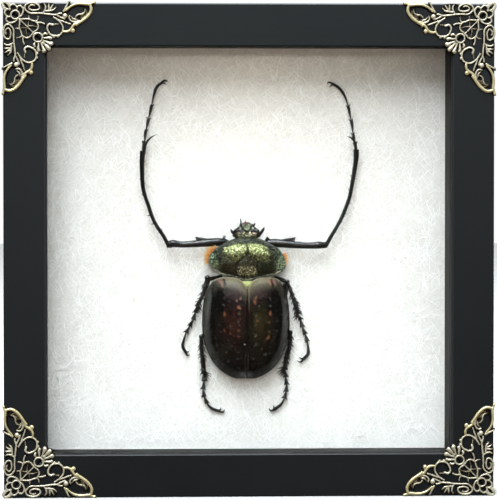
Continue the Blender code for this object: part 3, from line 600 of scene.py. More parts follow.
def makeShell(name, look):
    # Shell whose colours come from the piece's own paint, with punctures darkened as painted shade,
    # specks and wrinkles
    material, tree, shader = newMaterial(name)
    cloud = useGroup(tree, mottle, Size=look["cloudSize"], Strength=look["cloud"])["Amount"]
    speck = rangeOf(tree, noiseOf(tree, look["speckSize"], 2.0, 0.7), 0.36, 0.64,
                    1.0 - look["speck"], 1.0 + look["speck"])
    color = tinted(tree, attributeOf(tree, "paint", "Color"), times(tree, cloud, speck))
    pits = useGroup(tree, punctures, Size=look["pitSize"], Width=look["pitWidth"])
    color = mixColours(tree, times(tree, pits["Pits"], look["pitShade"]), color,
                       eyeColour(*look["pitShadeColour"]))
    film = useGroup(tree, dust, Size=2600.0, Amount=look["dust"])["Mask"]
    color = mixColours(tree, film, color, eyeColour(170, 168, 160))
    wrinkles = noiseOf(tree, look["wrinkleSize"], 3.0, 0.6)
    height = plus(tree, pits["Height"], times(tree, wrinkles, look["wrinkle"]))
    feed(tree, shader, color=color, rough=times(tree, cloud, look["rough"]),
         metal=look["metal"], coat=look["coat"], coatRough=look["coatRough"],
         specular=look["specular"], normal=bumpOf(tree, height, look["depth"], 0.8))
    return material


def makeBlackShell():
    look = {"black": eyeColour(4, 4, 5), "brown": eyeColour(16, 9, 8), "depth": 0.00003,
            "coat": (0.06, 1.0), "rough": (0.42, 0.17)}
    material, tree, shader = newMaterial("glossy black shell")
    cloud = noiseOf(tree, 420.0, 3.0, 0.6)
    pits = useGroup(tree, punctures, Size=2300.0, Width=0.3)
    height = plus(tree, pits["Height"], noiseOf(tree, 1800.0, 3.0, 0.6))
    color = mixColours(tree, rangeOf(tree, cloud, 0.5, 0.8), look["black"], look["brown"])
    film = useGroup(tree, dust, Size=2600.0, Amount=0.05)["Mask"]
    color = mixColours(tree, film, color, eyeColour(150, 146, 140))
    gloss = attributeOf(tree, "gloss")
    rough = times(tree, rangeOf(tree, gloss, 0.0, 1.0, *look["rough"]),
                  rangeOf(tree, cloud, 0.3, 0.7, 0.85, 1.3))
    feed(tree, shader, color=color, rough=rough,
         coat=rangeOf(tree, gloss, 0.0, 1.0, *look["coat"]), coatRough=0.13, specular=0.35,
         normal=bumpOf(tree, height, look["depth"], 0.5))
    return material


def makeHairFinish(name, root, tip, size):
    material, tree, shader = newMaterial(name)
    uneven = times(tree, minus(tree, noiseOf(tree, size, 2.0, 0.5), 0.5), 1.6)
    share = rangeOf(tree, plus(tree, attributeOf(tree, "reach"), uneven), 0.15, 0.95)
    feed(tree, shader, color=mixColours(tree, share, eyeColour(*root), eyeColour(*tip)),
         rough=0.42, specular=0.4, sheen=0.1)
    return material


def makeBrass():
    look = {"deep": eyeColour(22, 18, 17), "mid": eyeColour(100, 89, 64),
            "high": eyeColour(242, 237, 212), "gold": eyeColour(236, 224, 176),
            "ground": -0.01578, "top": -0.01655}
    material, tree, shader = newMaterial("antique brass")
    raised = rangeOf(tree, partsOf(tree, objectPlace(tree))["Y"], look["ground"], look["top"])
    high = mixColours(tree, attributeOf(tree, "golden"), look["high"], look["gold"])
    low = mixColours(tree, rangeOf(tree, raised, 0.12, 0.5), look["deep"], look["mid"])
    cloud = minus(tree, noiseOf(tree, 900.0, 3.0, 0.6), 0.5)
    # pale where the strokes stand highest: partly rubbed brass, partly a painted highlight on their
    # tops; dark patina in the hollows
    wearAndHighlight = plus(tree, raised, times(tree, cloud, 0.5), True)
    color = mixColours(tree, rangeOf(tree, wearAndHighlight, 0.56, 0.86), low, high)
    tarnish = noiseOf(tree, 2400.0, 3.0, 0.65)
    color = mixColours(tree, rangeOf(tree, tarnish, 0.62, 0.8, 0.0, 0.55), color, look["mid"])
    feed(tree, shader, color=color, metal=0.55, rough=rangeOf(tree, wearAndHighlight, 0.0, 1.0, 0.6, 0.36),
         specular=0.5, normal=bumpOf(tree, tarnish, 0.00004, 0.5))
    return material


materials = {
    "paint": makeBlackPaint(), "glass": makeClearGlass(), "paper": makeFibrePaper(),
    "strands": makeFibreStrands(), "steel": makeZincSteel(), "black": makeBlackShell(),
    "brass": makeBrass(),
    "board": makeFlecked("pressed brown board", {
        "light": eyeColour(150, 118, 86), "dark": eyeColour(98, 72, 48), "clouds": 0.25,
        "flecks": (900.0, 6.0, 0.75), "stretch": (1.0, 0.4, 0.55), "range": (0.36, 0.62),
        "rough": 0.8, "specular": 0.25, "bump": (0.00009, 0.6)}),
    "card": makeFlecked("black card", {
        "light": eyeColour(26, 26, 27), "dark": eyeColour(10, 10, 11), "clouds": 0.0,
        "flecks": (1600.0, 4.0, 0.7), "stretch": (1.0, 0.3, 1.0), "range": (0.5, 0.85),
        "rough": 0.75, "specular": 0.3, "bump": (0.00005, 0.5)}),
    "wing": makeShell("dark wing shell", {
        "cloudSize": 160.0, "cloud": 0.4, "speckSize": 1500.0, "speck": 0.15,
        "pitSize": 2600.0, "pitWidth": 0.35, "pitShade": 0.25, "pitShadeColour": (5, 4, 4),
        "dust": 0.008, "wrinkleSize": 1200.0, "wrinkle": 0.8, "rough": 0.27, "metal": 0.0,
        "coat": 0.1, "coatRough": 0.16, "specular": 0.13, "depth": 0.000015}),
    "green": makeShell("green metal shell", {
        "cloudSize": 300.0, "cloud": 0.4, "speckSize": 1700.0, "speck": 0.7,
        "pitSize": 1400.0, "pitWidth": 0.5, "pitShade": 0.8, "pitShadeColour": (14, 16, 9),
        "dust": 0.0, "wrinkleSize": 2600.0, "wrinkle": 0.7, "rough": 0.33, "metal": 0.4,
        "coat": 0.12, "coatRough": 0.2, "specular": 0.35, "depth": 0.00014}),
    "shield": makeShell("pale green shell", {
        "cloudSize": 500.0, "cloud": 0.25, "speckSize": 2600.0, "speck": 0.1,
        "pitSize": 4200.0, "pitWidth": 0.3, "pitShade": 0.3, "pitShadeColour": (90, 96, 40),
        "dust": 0.0, "wrinkleSize": 3000.0, "wrinkle": 0.5, "rough": 0.36, "metal": 0.0,
        "coat": 0.15, "coatRough": 0.2, "specular": 0.3, "depth": 0.00003}),
    "orangeHair": makeHairFinish("orange hair", (212, 120, 42), (255, 217, 134), 900.0),
    "legHair": makeHairFinish("dark bristles", (7, 5, 5), (22, 14, 11), 700.0),
}
nodeFinishes = {"frame_rail": "paint", "glass_pane": "glass", "backing_paper": "paper",
                "backing_board": "board", "spacer": "card", "retaining_tab": "steel",
                "sawtooth_hanger": "steel", "hanger_nail": "steel"}
for nodeName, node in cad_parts.items():
    for start, finish in nodeFinishes.items():
        if nodeName.startswith(start):
            node.data.materials.clear()
            node.data.materials.append(materials[finish])
print("frame, glass, paper and back dressed")


# Wing covers

wingCover = {
    "base": -10.8, "length": 42.9, "drop": 0.25, "wall": 0.7, "suture": 0.07,
    "columns": 96, "rows": 210, "frontShare": 0.44, "sineShare": 0.55,
    # half width, where it is widest, how far it reaches from there to front and tail, roundness
    "whole": (18.1, 20.0, 33.4, 23.3, 2.1), "dome": (17.7, 19.0, 40.5, 24.0, 2.3),
    # how far across, and how far back the front edge runs there
    "frontEdge": [(0.0, 4.95), (0.6, 4.6), (1.2, 3.7), (2.0, 2.5), (2.9, 1.6), (4.2, 1.0),
                  (5.5, 0.65), (8.1, 0.5), (11.4, 0.9), (13.0, 1.5), (14.0, 2.3), (14.7, 3.5)],
    "frontRunOut": 13.0,
    # where the seam between the covers lies: how far down, and how far across there
    "seamDown": [10.8, 53.7], "seamAcross": [0.45, -0.1],
    "rimHeight": 6.4, "crown": 9.2, "domePowers": (2.6, 0.8),
    # how much lower, within what length, and how sharply
    "crownDip": (0.3, 16.0, 2.5), "frontDip": (1.8, 2.8, 2),
    # the shoulder, and a swelling before the tip: height, then place and width across and along
    "swellings": [(0.5, 11.4, 1.7, 4.7, 2.0), (0.35, 9.0, 2.4, 34.0, 2.4)],
    # beads and grooves along an edge: height, distance from it and width
    "edgeBeads": [(0.14, 0.25, 0.2)], "frontBeads": [(0.12, 0.25, 0.22)],
    "seamBeads": [(0.14, 0.75, 0.32), (-0.25, 0.1, 0.22)],
}
wingPaint = {
    "ground": (9, 7, 7),
    # soft patches of the left (-1) and the right cover: place and width across, place and
    # height up, strength and colour; the first, olive by the front of the seam, is partly painted sheen
    "patches": {
        -1: [(0.3, 4.5, -14.4, 3.2, 0.7, (98, 92, 70)), (-4.7, 3.0, -18.0, 2.8, 0.5, (58, 40, 44)),
             (-5.4, 3.4, -30.0, 8.0, 0.85, (38, 17, 11)), (0.3, 2.2, -25.5, 4.0, 0.7, (36, 20, 16))],
        1: [(0.3, 4.5, -14.4, 3.2, 0.7, (98, 92, 70)), (5.3, 3.0, -18.0, 2.8, 0.5, (58, 40, 44)),
            (5.4, 3.4, -30.0, 8.0, 0.85, (37, 32, 14)), (0.3, 2.2, -25.5, 4.0, 0.7, (36, 20, 16))]},
    # painted highlight along the flank: distance from the edge and width, place and height up,
    # strength, tone
    "flankHighlight": {-1: (2.0, 0.7, -23.0, 7.0, 0.6, (93, 93, 91)),
                   1: (2.4, 0.8, -31.0, 8.0, 0.35, (74, 74, 72))},
    "streaks": [[(-11.4, -12.7), (-10.5, -13.4), (-9.9, -15.4)],
                [(9.0, -12.6), (9.7, -13.6), (9.9, -14.8)],
                [(10.9, -12.7), (11.4, -13.5), (12.0, -14.8)]],
    "wedges": [[(-9.3, -12.3), (-8.8, -14.4)], [(10.3, -12.4), (10.8, -15.0)]],
    # painted shade along a fold on each shoulder
    "foldShade": {-1: [(-14.3, -14.2), (-13.8, -18.4), (-13.3, -22.4)],
             1: [(15.3, -13.6), (15.9, -17.2), (16.3, -21.4)]},
    "dotLanes": (2.9, 5.3, 7.9, 10.4, 12.6, 14.6, 16.4),
}
spotColours = {
    "orange": (132, 82, 56), "brown": (104, 78, 54), "red": (88, 50, 44), "olive": (84, 76, 56),
    "grey": (72, 73, 70), "pink": (140, 110, 96), "pale": (205, 196, 182), "faint": (96, 70, 56),
}
# Spots on the wing covers: across, up, radius and colour
wingSpots = [(-2.7, -17, 0.5, "faint"), (-2.6, -20.1, 0.6, "pink"), (-4.2, -20.9, 0.5, "pink"),
    (-3.3, -23.8, 0.8, "orange"), (-3.2, -26.3, 0.6, "olive"), (-3.6, -29.7, 0.5, "grey"),
    (-3.4, -33.2, 0.6, "brown"), (-3.4, -35.8, 0.7, "red"), (-9.1, -26.6, 0.8, "orange"),
    (-9.2, -33.3, 0.6, "red"), (-6.8, -31.4, 0.4, "olive"), (-6.8, -34.5, 0.55, "red"),
    (-13.2, -22, 0.4, "grey"), (-9.5, -22.7, 0.5, "grey"), (-0.9, -39, 0.3, "pale"),
    (3.7, -19.8, 0.8, "brown"), (3.3, -21.6, 0.8, "orange"), (5, -23.2, 0.45, "grey"),
    (3.8, -27.2, 0.55, "brown"), (4.3, -29.3, 0.6, "brown"), (3.7, -30.9, 0.5, "olive"),
    (3.7, -35.5, 0.6, "olive"), (3.7, -39.1, 0.7, "grey"), (9.7, -26.3, 0.8, "orange"),
    (9.2, -29.9, 0.6, "brown"), (9.2, -33.8, 0.6, "olive"), (8.8, -36.3, 0.8, "orange"),
    (9.6, -20.1, 0.5, "grey"), (11.5, -21.7, 0.5, "grey"), (9.7, -23.2, 0.5, "grey"),
    (12.8, -29.6, 0.5, "grey"), (7.6, -14.7, 0.5, "grey"), (6.1, -41, 0.4, "brown"),
    (7.7, -43.3, 0.7, "grey"), (2.8, -45, 0.6, "grey"), (-8.3, -42.5, 0.5, "olive"),
    (-7.5, -46.1, 0.6, "grey"), (-3.6, -45.1, 0.5, "grey"), (-3.4, -42.4, 0.4, "grey"),
    (-6.2, -39.7, 0.4, "grey"), (-3.1, -49.2, 0.5, "grey"), (-14.7, -21.4, 0.4, "grey"),
    (-11.4, -30.9, 0.35, "grey"), (-10.8, -33.8, 0.35, "grey"), (-12.7, -36.5, 0.35, "grey"),
    (-12.3, -39.7, 0.4, "grey"), (-11.8, -42.7, 0.4, "grey"), (12.5, -33.5, 0.4, "grey"),
    (11.5, -36.1, 0.35, "grey"), (6.6, -46.9, 0.4, "grey"), (5, -47.1, 0.4, "grey"),
    (9.6, -42.8, 0.4, "grey")]


def curveThrough(x, points):
    # A smooth line through points of (x, value)
    xs, values = np.array(points, float).T
    slopes = np.gradient(values, xs)
    index = np.clip(np.searchsorted(xs, x) - 1, 0, len(xs) - 2)
    width = xs[index + 1] - xs[index]
    t = np.clip((x - xs[index]) / width, 0.0, 1.0)
    return ((2 * t ** 3 - 3 * t ** 2 + 1) * values[index]
            + (t ** 3 - 2 * t ** 2 + t) * width * slopes[index]
            + (3 * t ** 2 - 2 * t ** 3) * values[index + 1]
            + (t ** 3 - t ** 2) * width * slopes[index + 1])


def patch(x, z, across, wide, up, tall):
    # One in the middle of a soft spot
    return bump(x, across, wide) * bump(z, up, tall)


def beads(distance, marks):
    # Raised and sunk lines along an edge: height, distance from it and width
    return sum(height * bump(distance, at, width) for height, at, width in marks)


def dip(distance, depth, within, power):
    # How much lower a place lies near the start
    return depth * np.clip(1.0 - distance / within, 0.0, 1.0) ** power


def wingHalfWidth(along):
    half, widest, front, tail, rounding = wingCover["whole"]
    share = np.clip(np.abs(along - widest) / np.where(along < widest, front, tail), 0.0, 1.0)
    return half * (1.0 - share ** rounding) ** (1 / rounding)


def ovalShare(across, along, half, widest, front, tail, rounding):
    # How far out a place is, as a share of the whole outline or of the dome
    reach = np.where(along < widest, front, tail)
    return ((across / half) ** rounding
            + (np.abs(along - widest) / reach) ** rounding) ** (1 / rounding)


def wingHeight(across, along, fromFront):
    w = wingCover
    edge = (1.0 - ovalShare(across, along, *w["whole"])) * w["whole"][0]
    dome = ovalShare(across, along, *w["dome"])
    height = w["crown"] * (1.0 - dip(along, *w["crownDip"]))
    height = height * domeOf(dome, *w["domePowers"])
    height -= dip(fromFront, *w["frontDip"])
    height = w["rimHeight"] + np.maximum(height, 0.0)
    for high, *place in w["swellings"]:
        height += high * patch(across, along, *place)
    height += beads(edge, w["edgeBeads"])
    height += beads(across, w["seamBeads"])
    height += beads(fromFront, w["frontBeads"])
    return height, edge, dome


def spotShare(x, z, across, up, radius):
    # One spot with an uneven edge
    angle = np.arctan2(z - up, x - across)
    wavy = 1.0 + 0.22 * np.sin(2 * angle + across * 5) + 0.14 * np.sin(3 * angle + up * 7)
    return np.exp(-(np.hypot(x - across, (z - up) / 1.2) / (radius * wavy)) ** 2.6)


def paintWing(x, z, edge, dome, fromFront, side):
    w = wingPaint
    colours = freshPaint(len(x), w["ground"])
    # the front is paler: partly the shell's colour, partly painted sheen
    front = fall(fromFront, 5.75, 5.0) * 0.9
    layCoats(colours, (fall(fromFront, 9.375, 7.5) * 0.85, (56, 52, 43)),
             (bump(x, -6.2, 4.2) * front, (112, 107, 88)),
             (bump(x, 6.4, 4.4) * front, (112, 107, 88)))
    for *place, strength, colour in w["patches"][side]:
        layPaint(colours, patch(x, z, *place) * strength, colour)
    for path in w["streaks"]:
        width = 0.16 + 0.42 * rise(z, -15.6, 3.0)
        layPaint(colours, lineMask(x, z, path, width) * 0.6, (150, 104, 90))
    for path in w["wedges"]:
        layPaint(colours, lineMask(x, z, path, 0.45) * 0.95, (7, 6, 6))
    narrowing = np.maximum(1.0 - ((z + 30.0) / 30.0) ** 2 * 0.6, 0.2)
    strewn = smoothShare(grainOf(x, z, 2.6, 14) + 0.6) * (edge > 1.0) * 0.22
    for lane in w["dotLanes"]:
        dots = np.clip(np.sin(z * 2.3 + lane * 1.7 + side) * 2.2 - 1.1, 0.0, 1.0)
        layPaint(colours, bump(np.abs(x) / narrowing, lane, 0.3) * dots * strewn, (80, 80, 76))
    for across, up, radius, colour in wingSpots:
        layPaint(colours, spotShare(x, z, across, up, radius * 0.72) * 0.7, spotColours[colour])
    # the grey margin, which fades on the right shoulder and is partly painted sheen; inside it a
    # painted highlight along the flank, darker patches on the shoulders and painted shade along a fold
    fade = 0.55 + 0.45 * fall(z, -16.0, 10.0) if side > 0 else 1.0
    margin = smoothShare((3.8 + 0.35 * grainOf(x, z, 5.0, 15) - edge) / 2.0) * fade
    *place, strength, tone = w["flankHighlight"][side]
    inside = rise(np.abs(x - 0.3), 8.6, 2.4) * rise(edge, 3.0, 1.5)
    layCoats(colours, (margin * rise(edge, 0.2, 0.5) * 0.9, (42, 41, 38)),
             (patch(edge, z, *place) * strength, tone),
             (patch(x, z, side * 12.2 + 0.3, 2.2, -20.0, 3.8) * 0.7, (14, 13, 12)),
             (lineMask(x, z, w["foldShade"][side], 0.6) * 0.92, (7, 6, 6)),
             (inside * bump(z, -19.0, 3.8) * 0.85, (8, 7, 7)),
             (fall(edge, 0.5, 0.3), (10, 9, 9)))
    # the tip, with grey-blue patches that are partly painted reflection; the front edge; and the seam
    # from its front to its end, with a pale line beside it that is partly painted highlight
    onDome = fall(dome, 1.0, 0.1)
    layCoats(colours, (patch(x, z, side * 1.3, 1.5, -52.0, 1.1) * 0.9, (88, 92, 94)),
             (bump(fromFront, 0.25, 0.24) * onDome * 0.8, (150, 142, 120)),
             (bump(x, 0.85, 0.14) * rise(z, -27.0, 6.0) * 0.55, (120, 108, 98)),
             (bump(x, 0.3, 0.3) * fall(z, -20.0, 5.0) * 0.8, (8, 6, 6)),
             (bump(np.abs(x), 0.6, 0.25) * fall(z, -40.0, 6.0) * (z > -50) * 0.4,
              (70, 68, 64)))
    return colours


def makeWingCover(name, side):
    w = wingCover
    bpy.ops.mesh.primitive_grid_add(x_subdivisions=w["columns"], y_subdivisions=w["rows"], size=2)
    wing = bpy.context.object
    column, row = (getPlaces(wing)[:, :2] * (1, -1) + 1).T / 2
    half, widest = w["whole"][:2]
    share = w["frontShare"]
    tail = np.clip((row - share) / (1 - share), 0.0, 1.0) * math.pi / 2
    along = np.where(row < share, row / share * widest,
                     widest + (w["length"] - widest) * np.sin(tail))
    spread = w["sineShare"] * np.sin(column * math.pi / 2) + (1 - w["sineShare"]) * column
    across = w["suture"] + (wingHalfWidth(along) - w["suture"]) * spread
    run = curveThrough(np.minimum(across, w["frontEdge"][-1][0]), w["frontEdge"])
    alongHere = along + run * np.clip(1.0 - along / w["frontRunOut"], 0.0, 1.0) ** 2
    fromFront = alongHere - run
    height, edge, dome = wingHeight(across, alongHere, fromFront)
    up = w["base"] - alongHere
    seam = np.interp(-up, w["seamDown"], w["seamAcross"])
    x = side * across + seam * (1.0 - (across / half) ** 2)
    setPlaces(wing, fromPaper(x, up - w["drop"], height))
    if side < 0:
        editWhole(wing)
        bpy.ops.mesh.flip_normals()
        leaveEdit()
    storePaint(wing, paintWing(x, up, edge, dome, fromFront, side))
    shell = wing.modifiers.new("shell", "SOLIDIFY")
    shell.thickness = w["wall"] * mm
    shell.offset = -1.0
    shell.use_even_offset = False
    applyModifiers(wing)
    finishPiece(wing, "wing_cover_" + name, "wing", ["elytron_" + name])


makeWingCover("left", -1)
makeWingCover("right", 1)
print("wing covers made")


# Neck shield, small shield and head

def mirrorOutline(half, axis, leftHalf=None):
    # Both sides of an outline given from its top to its bottom on one side
    right = [(axis + x, z) for x, z in half]
    left = [(axis - x, z) for x, z in reversed(leftHalf or half) if x > 0]
    return right + left


def makeDomedPlate(look, outline, rule, paintRule):
    # A grid pulled into the outline, raised and painted by rules, then closed below by extruding
    count, centre = look["count"], look["centre"]
    bpy.ops.mesh.primitive_grid_add(x_subdivisions=count, y_subdivisions=count, size=2)
    plate = bpy.context.object
    flat = getPlaces(plate)[:, :2]
    share = np.abs(flat).max(axis=1)
    angle = np.arctan2(flat[:, 1], flat[:, 0])
    loop = np.array(outline) - np.array(centre)
    loopAngle = np.arctan2(loop[:, 1], loop[:, 0])
    order = np.argsort(loopAngle)
    reach = share * np.interp(angle, loopAngle[order], np.hypot(*loop.T)[order], period=2 * math.pi)
    x, z = centre[0] + reach * np.cos(angle), centre[1] + reach * np.sin(angle)
    setPlaces(plate, fromPaper(x, z - look["drop"], rule(x, z, share)))
    storePaint(plate, paintRule(x, z, share))
    editWhole(plate)
    bpy.ops.mesh.select_all(action="DESELECT")
    bpy.ops.mesh.select_non_manifold()
    middle = (centre[0] * mm, paperFront, middleHeight + centre[1] * mm)
    wallSteps = 3
    for _ in range(wallSteps):
        bpy.ops.mesh.extrude_edges_move(
            TRANSFORM_OT_translate={"value": (0.0, look["wall"] * mm / wallSteps, 0.0)})
        bpy.ops.transform.resize(value=(look["shrink"], 1.0, look["shrink"]),
                                 center_override=middle)
    bpy.ops.mesh.edge_face_add()
    bpy.ops.mesh.select_all(action="SELECT")
    bpy.ops.mesh.quads_convert_to_tris()
    bpy.ops.mesh.normals_make_consistent(inside=False)
    leaveEdit()
    return plate


neckShield = {
    "axis": 0.3, "centre": (0.3, -4.0), "count": 186, "wall": 2.0, "shrink": 0.985,
    "drop": 0.4, "low": 8.0, "rise": 5.3, "dome": (3.0, 0.75),
    "half": [(0, 5.3), (4.7, 4.8), (8.5, 3.3), (13, 0.5), (15.2, -2.4), (16, -5), (16.1, -7),
        (15.2, -8.7), (12.6, -10.1), (9.4, -10.6), (6, -11.1), (3.2, -12), (0, -12.5)],
    "leftHalf": [(0, 5.3), (4.7, 4.8), (8.5, 3.3), (13, 0.5), (15, -1.8), (15.7, -3.8), (15.6, -6.1),
        (14.4, -7.6), (12.4, -8.5), (11.2, -9.7), (9.3, -10.5), (6, -11.1), (3.2, -12), (0, -12.5)],
    "leftSwelling": [(-9.4, -0.9), (-9.2, 0.7), (-5, 2.2), (-0.1, 2.7), (0.2, 0.9), (-0.6, -1.9),
        (-3.2, -3.3), (-5.5, -3), (-8.1, -1.9)],
    "rightSwelling": [(0.6, 2.7), (5, 2.4), (8.4, 1.2), (10.2, -2.5), (7.6, -3), (4.5, -3), (1.3, -1.7),
        (0.5, 0.6)],
    "triangle": [(0.9, -1.9), (-3.1, -4.8), (-4.2, -6.9), (-3.9, -10.1), (0.5, -11.6), (5, -10.1),
        (4.7, -8.3), (4, -5.9)],
    "leftGroove": [(0.7, -1.5), (-3.1, -4.8), (-4.2, -6.9), (-3.9, -10.4)],
    "rightGroove": [(0.9, -1.5), (4, -5.9), (4.7, -8.3), (5, -10.4)],
    "middleGroove": [(0.5, 3.2), (0.4, 0.5), (0.8, -1.8)],
    "leftLobe": [(-9.8, -5.2), (-5.2, -4.6), (-4.9, -10), (-9, -10.2), (-10.6, -8)],
    "rightLobe": [(5.6, -5), (11, -4.6), (11.6, -8), (10, -10), (6, -10.2)],
    "rearRim": [(-12.1, -8.5), (-10.9, -9.7), (-9, -10.5), (-7, -10.6), (-4.3, -11.2), (-1.7, -12.2),
        (0.4, -12.4), (3, -12.1), (5.1, -11.4), (8.3, -10.8), (11.7, -10.2), (13.8, -9)],
    # how soft the raised shapes are and how high; how wide the grooves are and how deep
    "raised": [("leftSwelling", 3.4, 0.9), ("rightSwelling", 3.4, 0.9), ("leftLobe", 3.4, 0.25),
               ("rightLobe", 3.4, 0.25)],
    "grooves": [("middleGroove", 0.5, 0.35), ("leftGroove", 0.6, 0.5), ("rightGroove", 0.6, 0.5)],
    # the tints of the flanks: place and width across, place and height up, and colour
    "flanks": [(-14.6, 1.8, -2.6, 2.6, (58, 82, 70)), (-14.6, 2.0, -5.4, 2.4, (72, 88, 68)),
               (-13.4, 2.4, -7.6, 1.9, (108, 116, 88)), (14.9, 1.7, -3.0, 2.6, (60, 84, 70)),
               (14.6, 2.1, -6.4, 2.8, (106, 118, 92))],
    "edgeBeads": [(0.3, 1.0, 0.6), (-0.45, 2.1, 0.35)],
    "fineGrain": (0.46, 5), "finerGrain": (0.33, 6),
    # small teeth on its edge: how far across they start and grow, where they end, how deep
    "edgeTeeth": (12.0, 2.0, -9, 0.16),
}
neckOutline = smoothLoop(mirrorOutline(neckShield["half"], neckShield["axis"],
                                       neckShield["leftHalf"]))
neckRing = np.vstack([neckOutline, neckOutline[:1]])


def neckShape(x, z, softness, *names):
    # One inside any of the named shapes
    return np.maximum.reduce([shapeMask(x, z, neckShield[name], softness) for name in names])


def neckRelief(x, z, share):
    n = neckShield
    edge, rim = distanceToLine(x, z, neckRing), distanceToLine(x, z, n["rearRim"])
    height = n["low"] + n["rise"] * domeOf(share, *n["dome"])
    height += rise(z, -2.0, 2.0) * beads(edge, n["edgeBeads"])
    for name, softness, high in n["raised"]:
        height += high * shapeMask(x, z, n[name], softness)
    for name, width, deep in n["grooves"]:
        height -= deep * lineMask(x, z, n[name], width)
    height += 1.1 * bump(rim, 0, 0.36) * (edge < 1.2) - 0.5 * bump(rim, 0.9, 0.35) * (edge > 0.6)
    calm = neckShape(x, z, 1.6, "leftLobe", "rightLobe")
    height += 0.13 * grainOf(x, z, *n["fineGrain"]) * rise(edge, 0.0, 0.4) * (1.0 - 0.8 * calm)
    return height


def paintNeck(x, z, share):
    n = neckShield
    edge, rim = distanceToLine(x, z, neckRing), distanceToLine(x, z, n["rearRim"])
    colours = freshPaint(len(x), (42, 44, 30))
    layCoats(colours, (fall(edge, 2.3, 0.7) * rise(z, -2.0, 2.0), (46, 52, 42)),
             (bump(edge, 2.1, 0.3) * rise(z, -1.0, 2.0) * 0.8, (26, 30, 20)))
    for *place, colour in n["flanks"]:
        layPaint(colours, smoothShare(patch(x, z, *place) * 1.5), colour)
    belt = bump(z, -2.9, 1.6) * fall(np.abs(x - n["axis"]), 9.5, 1.5)
    triangle = neckShape(x, z, 1.2, "triangle")
    swelling = 0.3 + 0.7 * rise(z, -2.8, 2.8)
    below = 0.6 + 0.4 * fall(z, -4.0, 3.0)
    layCoats(colours, (neckShape(x, z, 1.4, "leftLobe"), (38, 35, 18)),
             (neckShape(x, z, 1.4, "rightLobe"), (28, 34, 20)), (belt * 0.75, (76, 76, 42)),
             (neckShape(x, z, 0.9, "triangle"), (44, 40, 22)),
             (triangle * fall(z, -5.2, 4.0) * 0.95, (116, 112, 82)),
             (neckShape(x, z, 1.5, "leftSwelling") * swelling, (132, 138, 90)),
             (neckShape(x, z, 1.5, "rightSwelling") * swelling, (132, 138, 90)))
    # a painted highlight on the top of each swelling
    for name, across in (("leftSwelling", -4.6), ("rightSwelling", 3.8)):
        swellingHighlight = patch(x, z, across, 3.0, 1.2, 1.5) * neckShape(x, z, 1.3, name)
        layPaint(colours, swellingHighlight * 0.6, (168, 176, 120))
    layCoats(colours, (lineMask(x, z, n["middleGroove"], 0.32) * 0.6, (58, 62, 40)),
             (lineMask(x, z, n["leftGroove"], 0.5) * 0.85 * below, (22, 22, 15)),
             (lineMask(x, z, n["rightGroove"], 0.5) * 0.85 * below, (22, 22, 15)),
             (bump(rim, 0.75, 0.3) * (edge > 0.5) * 0.9, (16, 18, 10)),
             (bump(rim, 0, 0.42) * 0.95, (176, 176, 146)),
             (fall(edge, 0.16, 0.14) * (z < -8), (10, 10, 8)))
    # darker and lighter with a grain: its coarser part follows the raised grains of the relief, so
    # there it is painted light and shade; its finer part is random tone
    grain = grainOf(x, z, *n["fineGrain"]) + 0.7 * grainOf(x, z, *n["finerGrain"])
    margin = rise(np.abs(x - n["axis"]), 11.5, 2.5)
    calm = neckShape(x, z, 1.6, "leftLobe", "rightLobe")
    low = triangle * fall(z, -6.0, 3.5)
    roughen(colours, (0.8 + 0.6 * margin + 0.5 * low) * (1.0 - 0.85 * calm) * grain, 0.12, 3.0)
    # bright specks, painted glints on the highest grains between the pits, most of them on the margins
    # and the lower triangle
    specks = rise(grain, 0.3, 0.3) * (1.0 - 0.9 * calm)
    swollen = neckShape(x, z, 1.3, "leftSwelling", "rightSwelling")
    layCoats(colours, (specks * margin * 0.7, (158, 178, 146)), (specks * low * 0.85, (208, 206, 168)),
             (specks * swollen * rise(z, -2.5, 2.0) * 0.4, (206, 212, 158)),
             (specks * 0.16, (150, 150, 120)))
    return colours


def neckSerration():
    # Small teeth along both sides of the outline
    start, width, end, depth = neckShield["edgeTeeth"]
    loop = neckOutline.copy()
    side = np.clip((np.abs(loop[:, 0] - neckShield["axis"]) - start) / width, 0, 1)
    side = side * (loop[:, 1] > end)
    loop[:, 0] += np.sign(loop[:, 0]) * side * depth * (np.arange(len(loop)) % 2 * 2 - 1)
    return loop


smallShield = {
    "centre": (0.35, -14.1), "count": 36, "wall": 0.9, "shrink": 0.97, "drop": 0.4,
    "low": 11.0, "rise": 0.75, "dome": (3.0, 0.6), "groove": (0.12, 0.78, 0.06),
    "outline": [(-2.1, -12.7), (0.35, -12.5), (2.8, -12.7), (2.5, -13.7), (1.9, -14.5),
                (1.15, -15.2), (0.35, -15.6), (-0.45, -15.2), (-1.2, -14.5), (-1.8, -13.7)],
}


def smallShieldRelief(x, z, share):
    s = smallShield
    depth, *groove = s["groove"]
    height = s["low"] + s["rise"] * domeOf(share, *s["dome"])
    return height - depth * bump(share, *groove)


def paintSmallShield(x, z, share):
    colours = freshPaint(len(x), (168, 174, 112))
    layCoats(colours, (rise(share, 0.9, 0.05) * 0.8, (186, 184, 142)),
             (bump(share, 0.84, 0.05) * 0.7, (74, 72, 36)),
             (rise(z, -13.1, 0.4) * 0.95, (22, 22, 14)))
    return colours


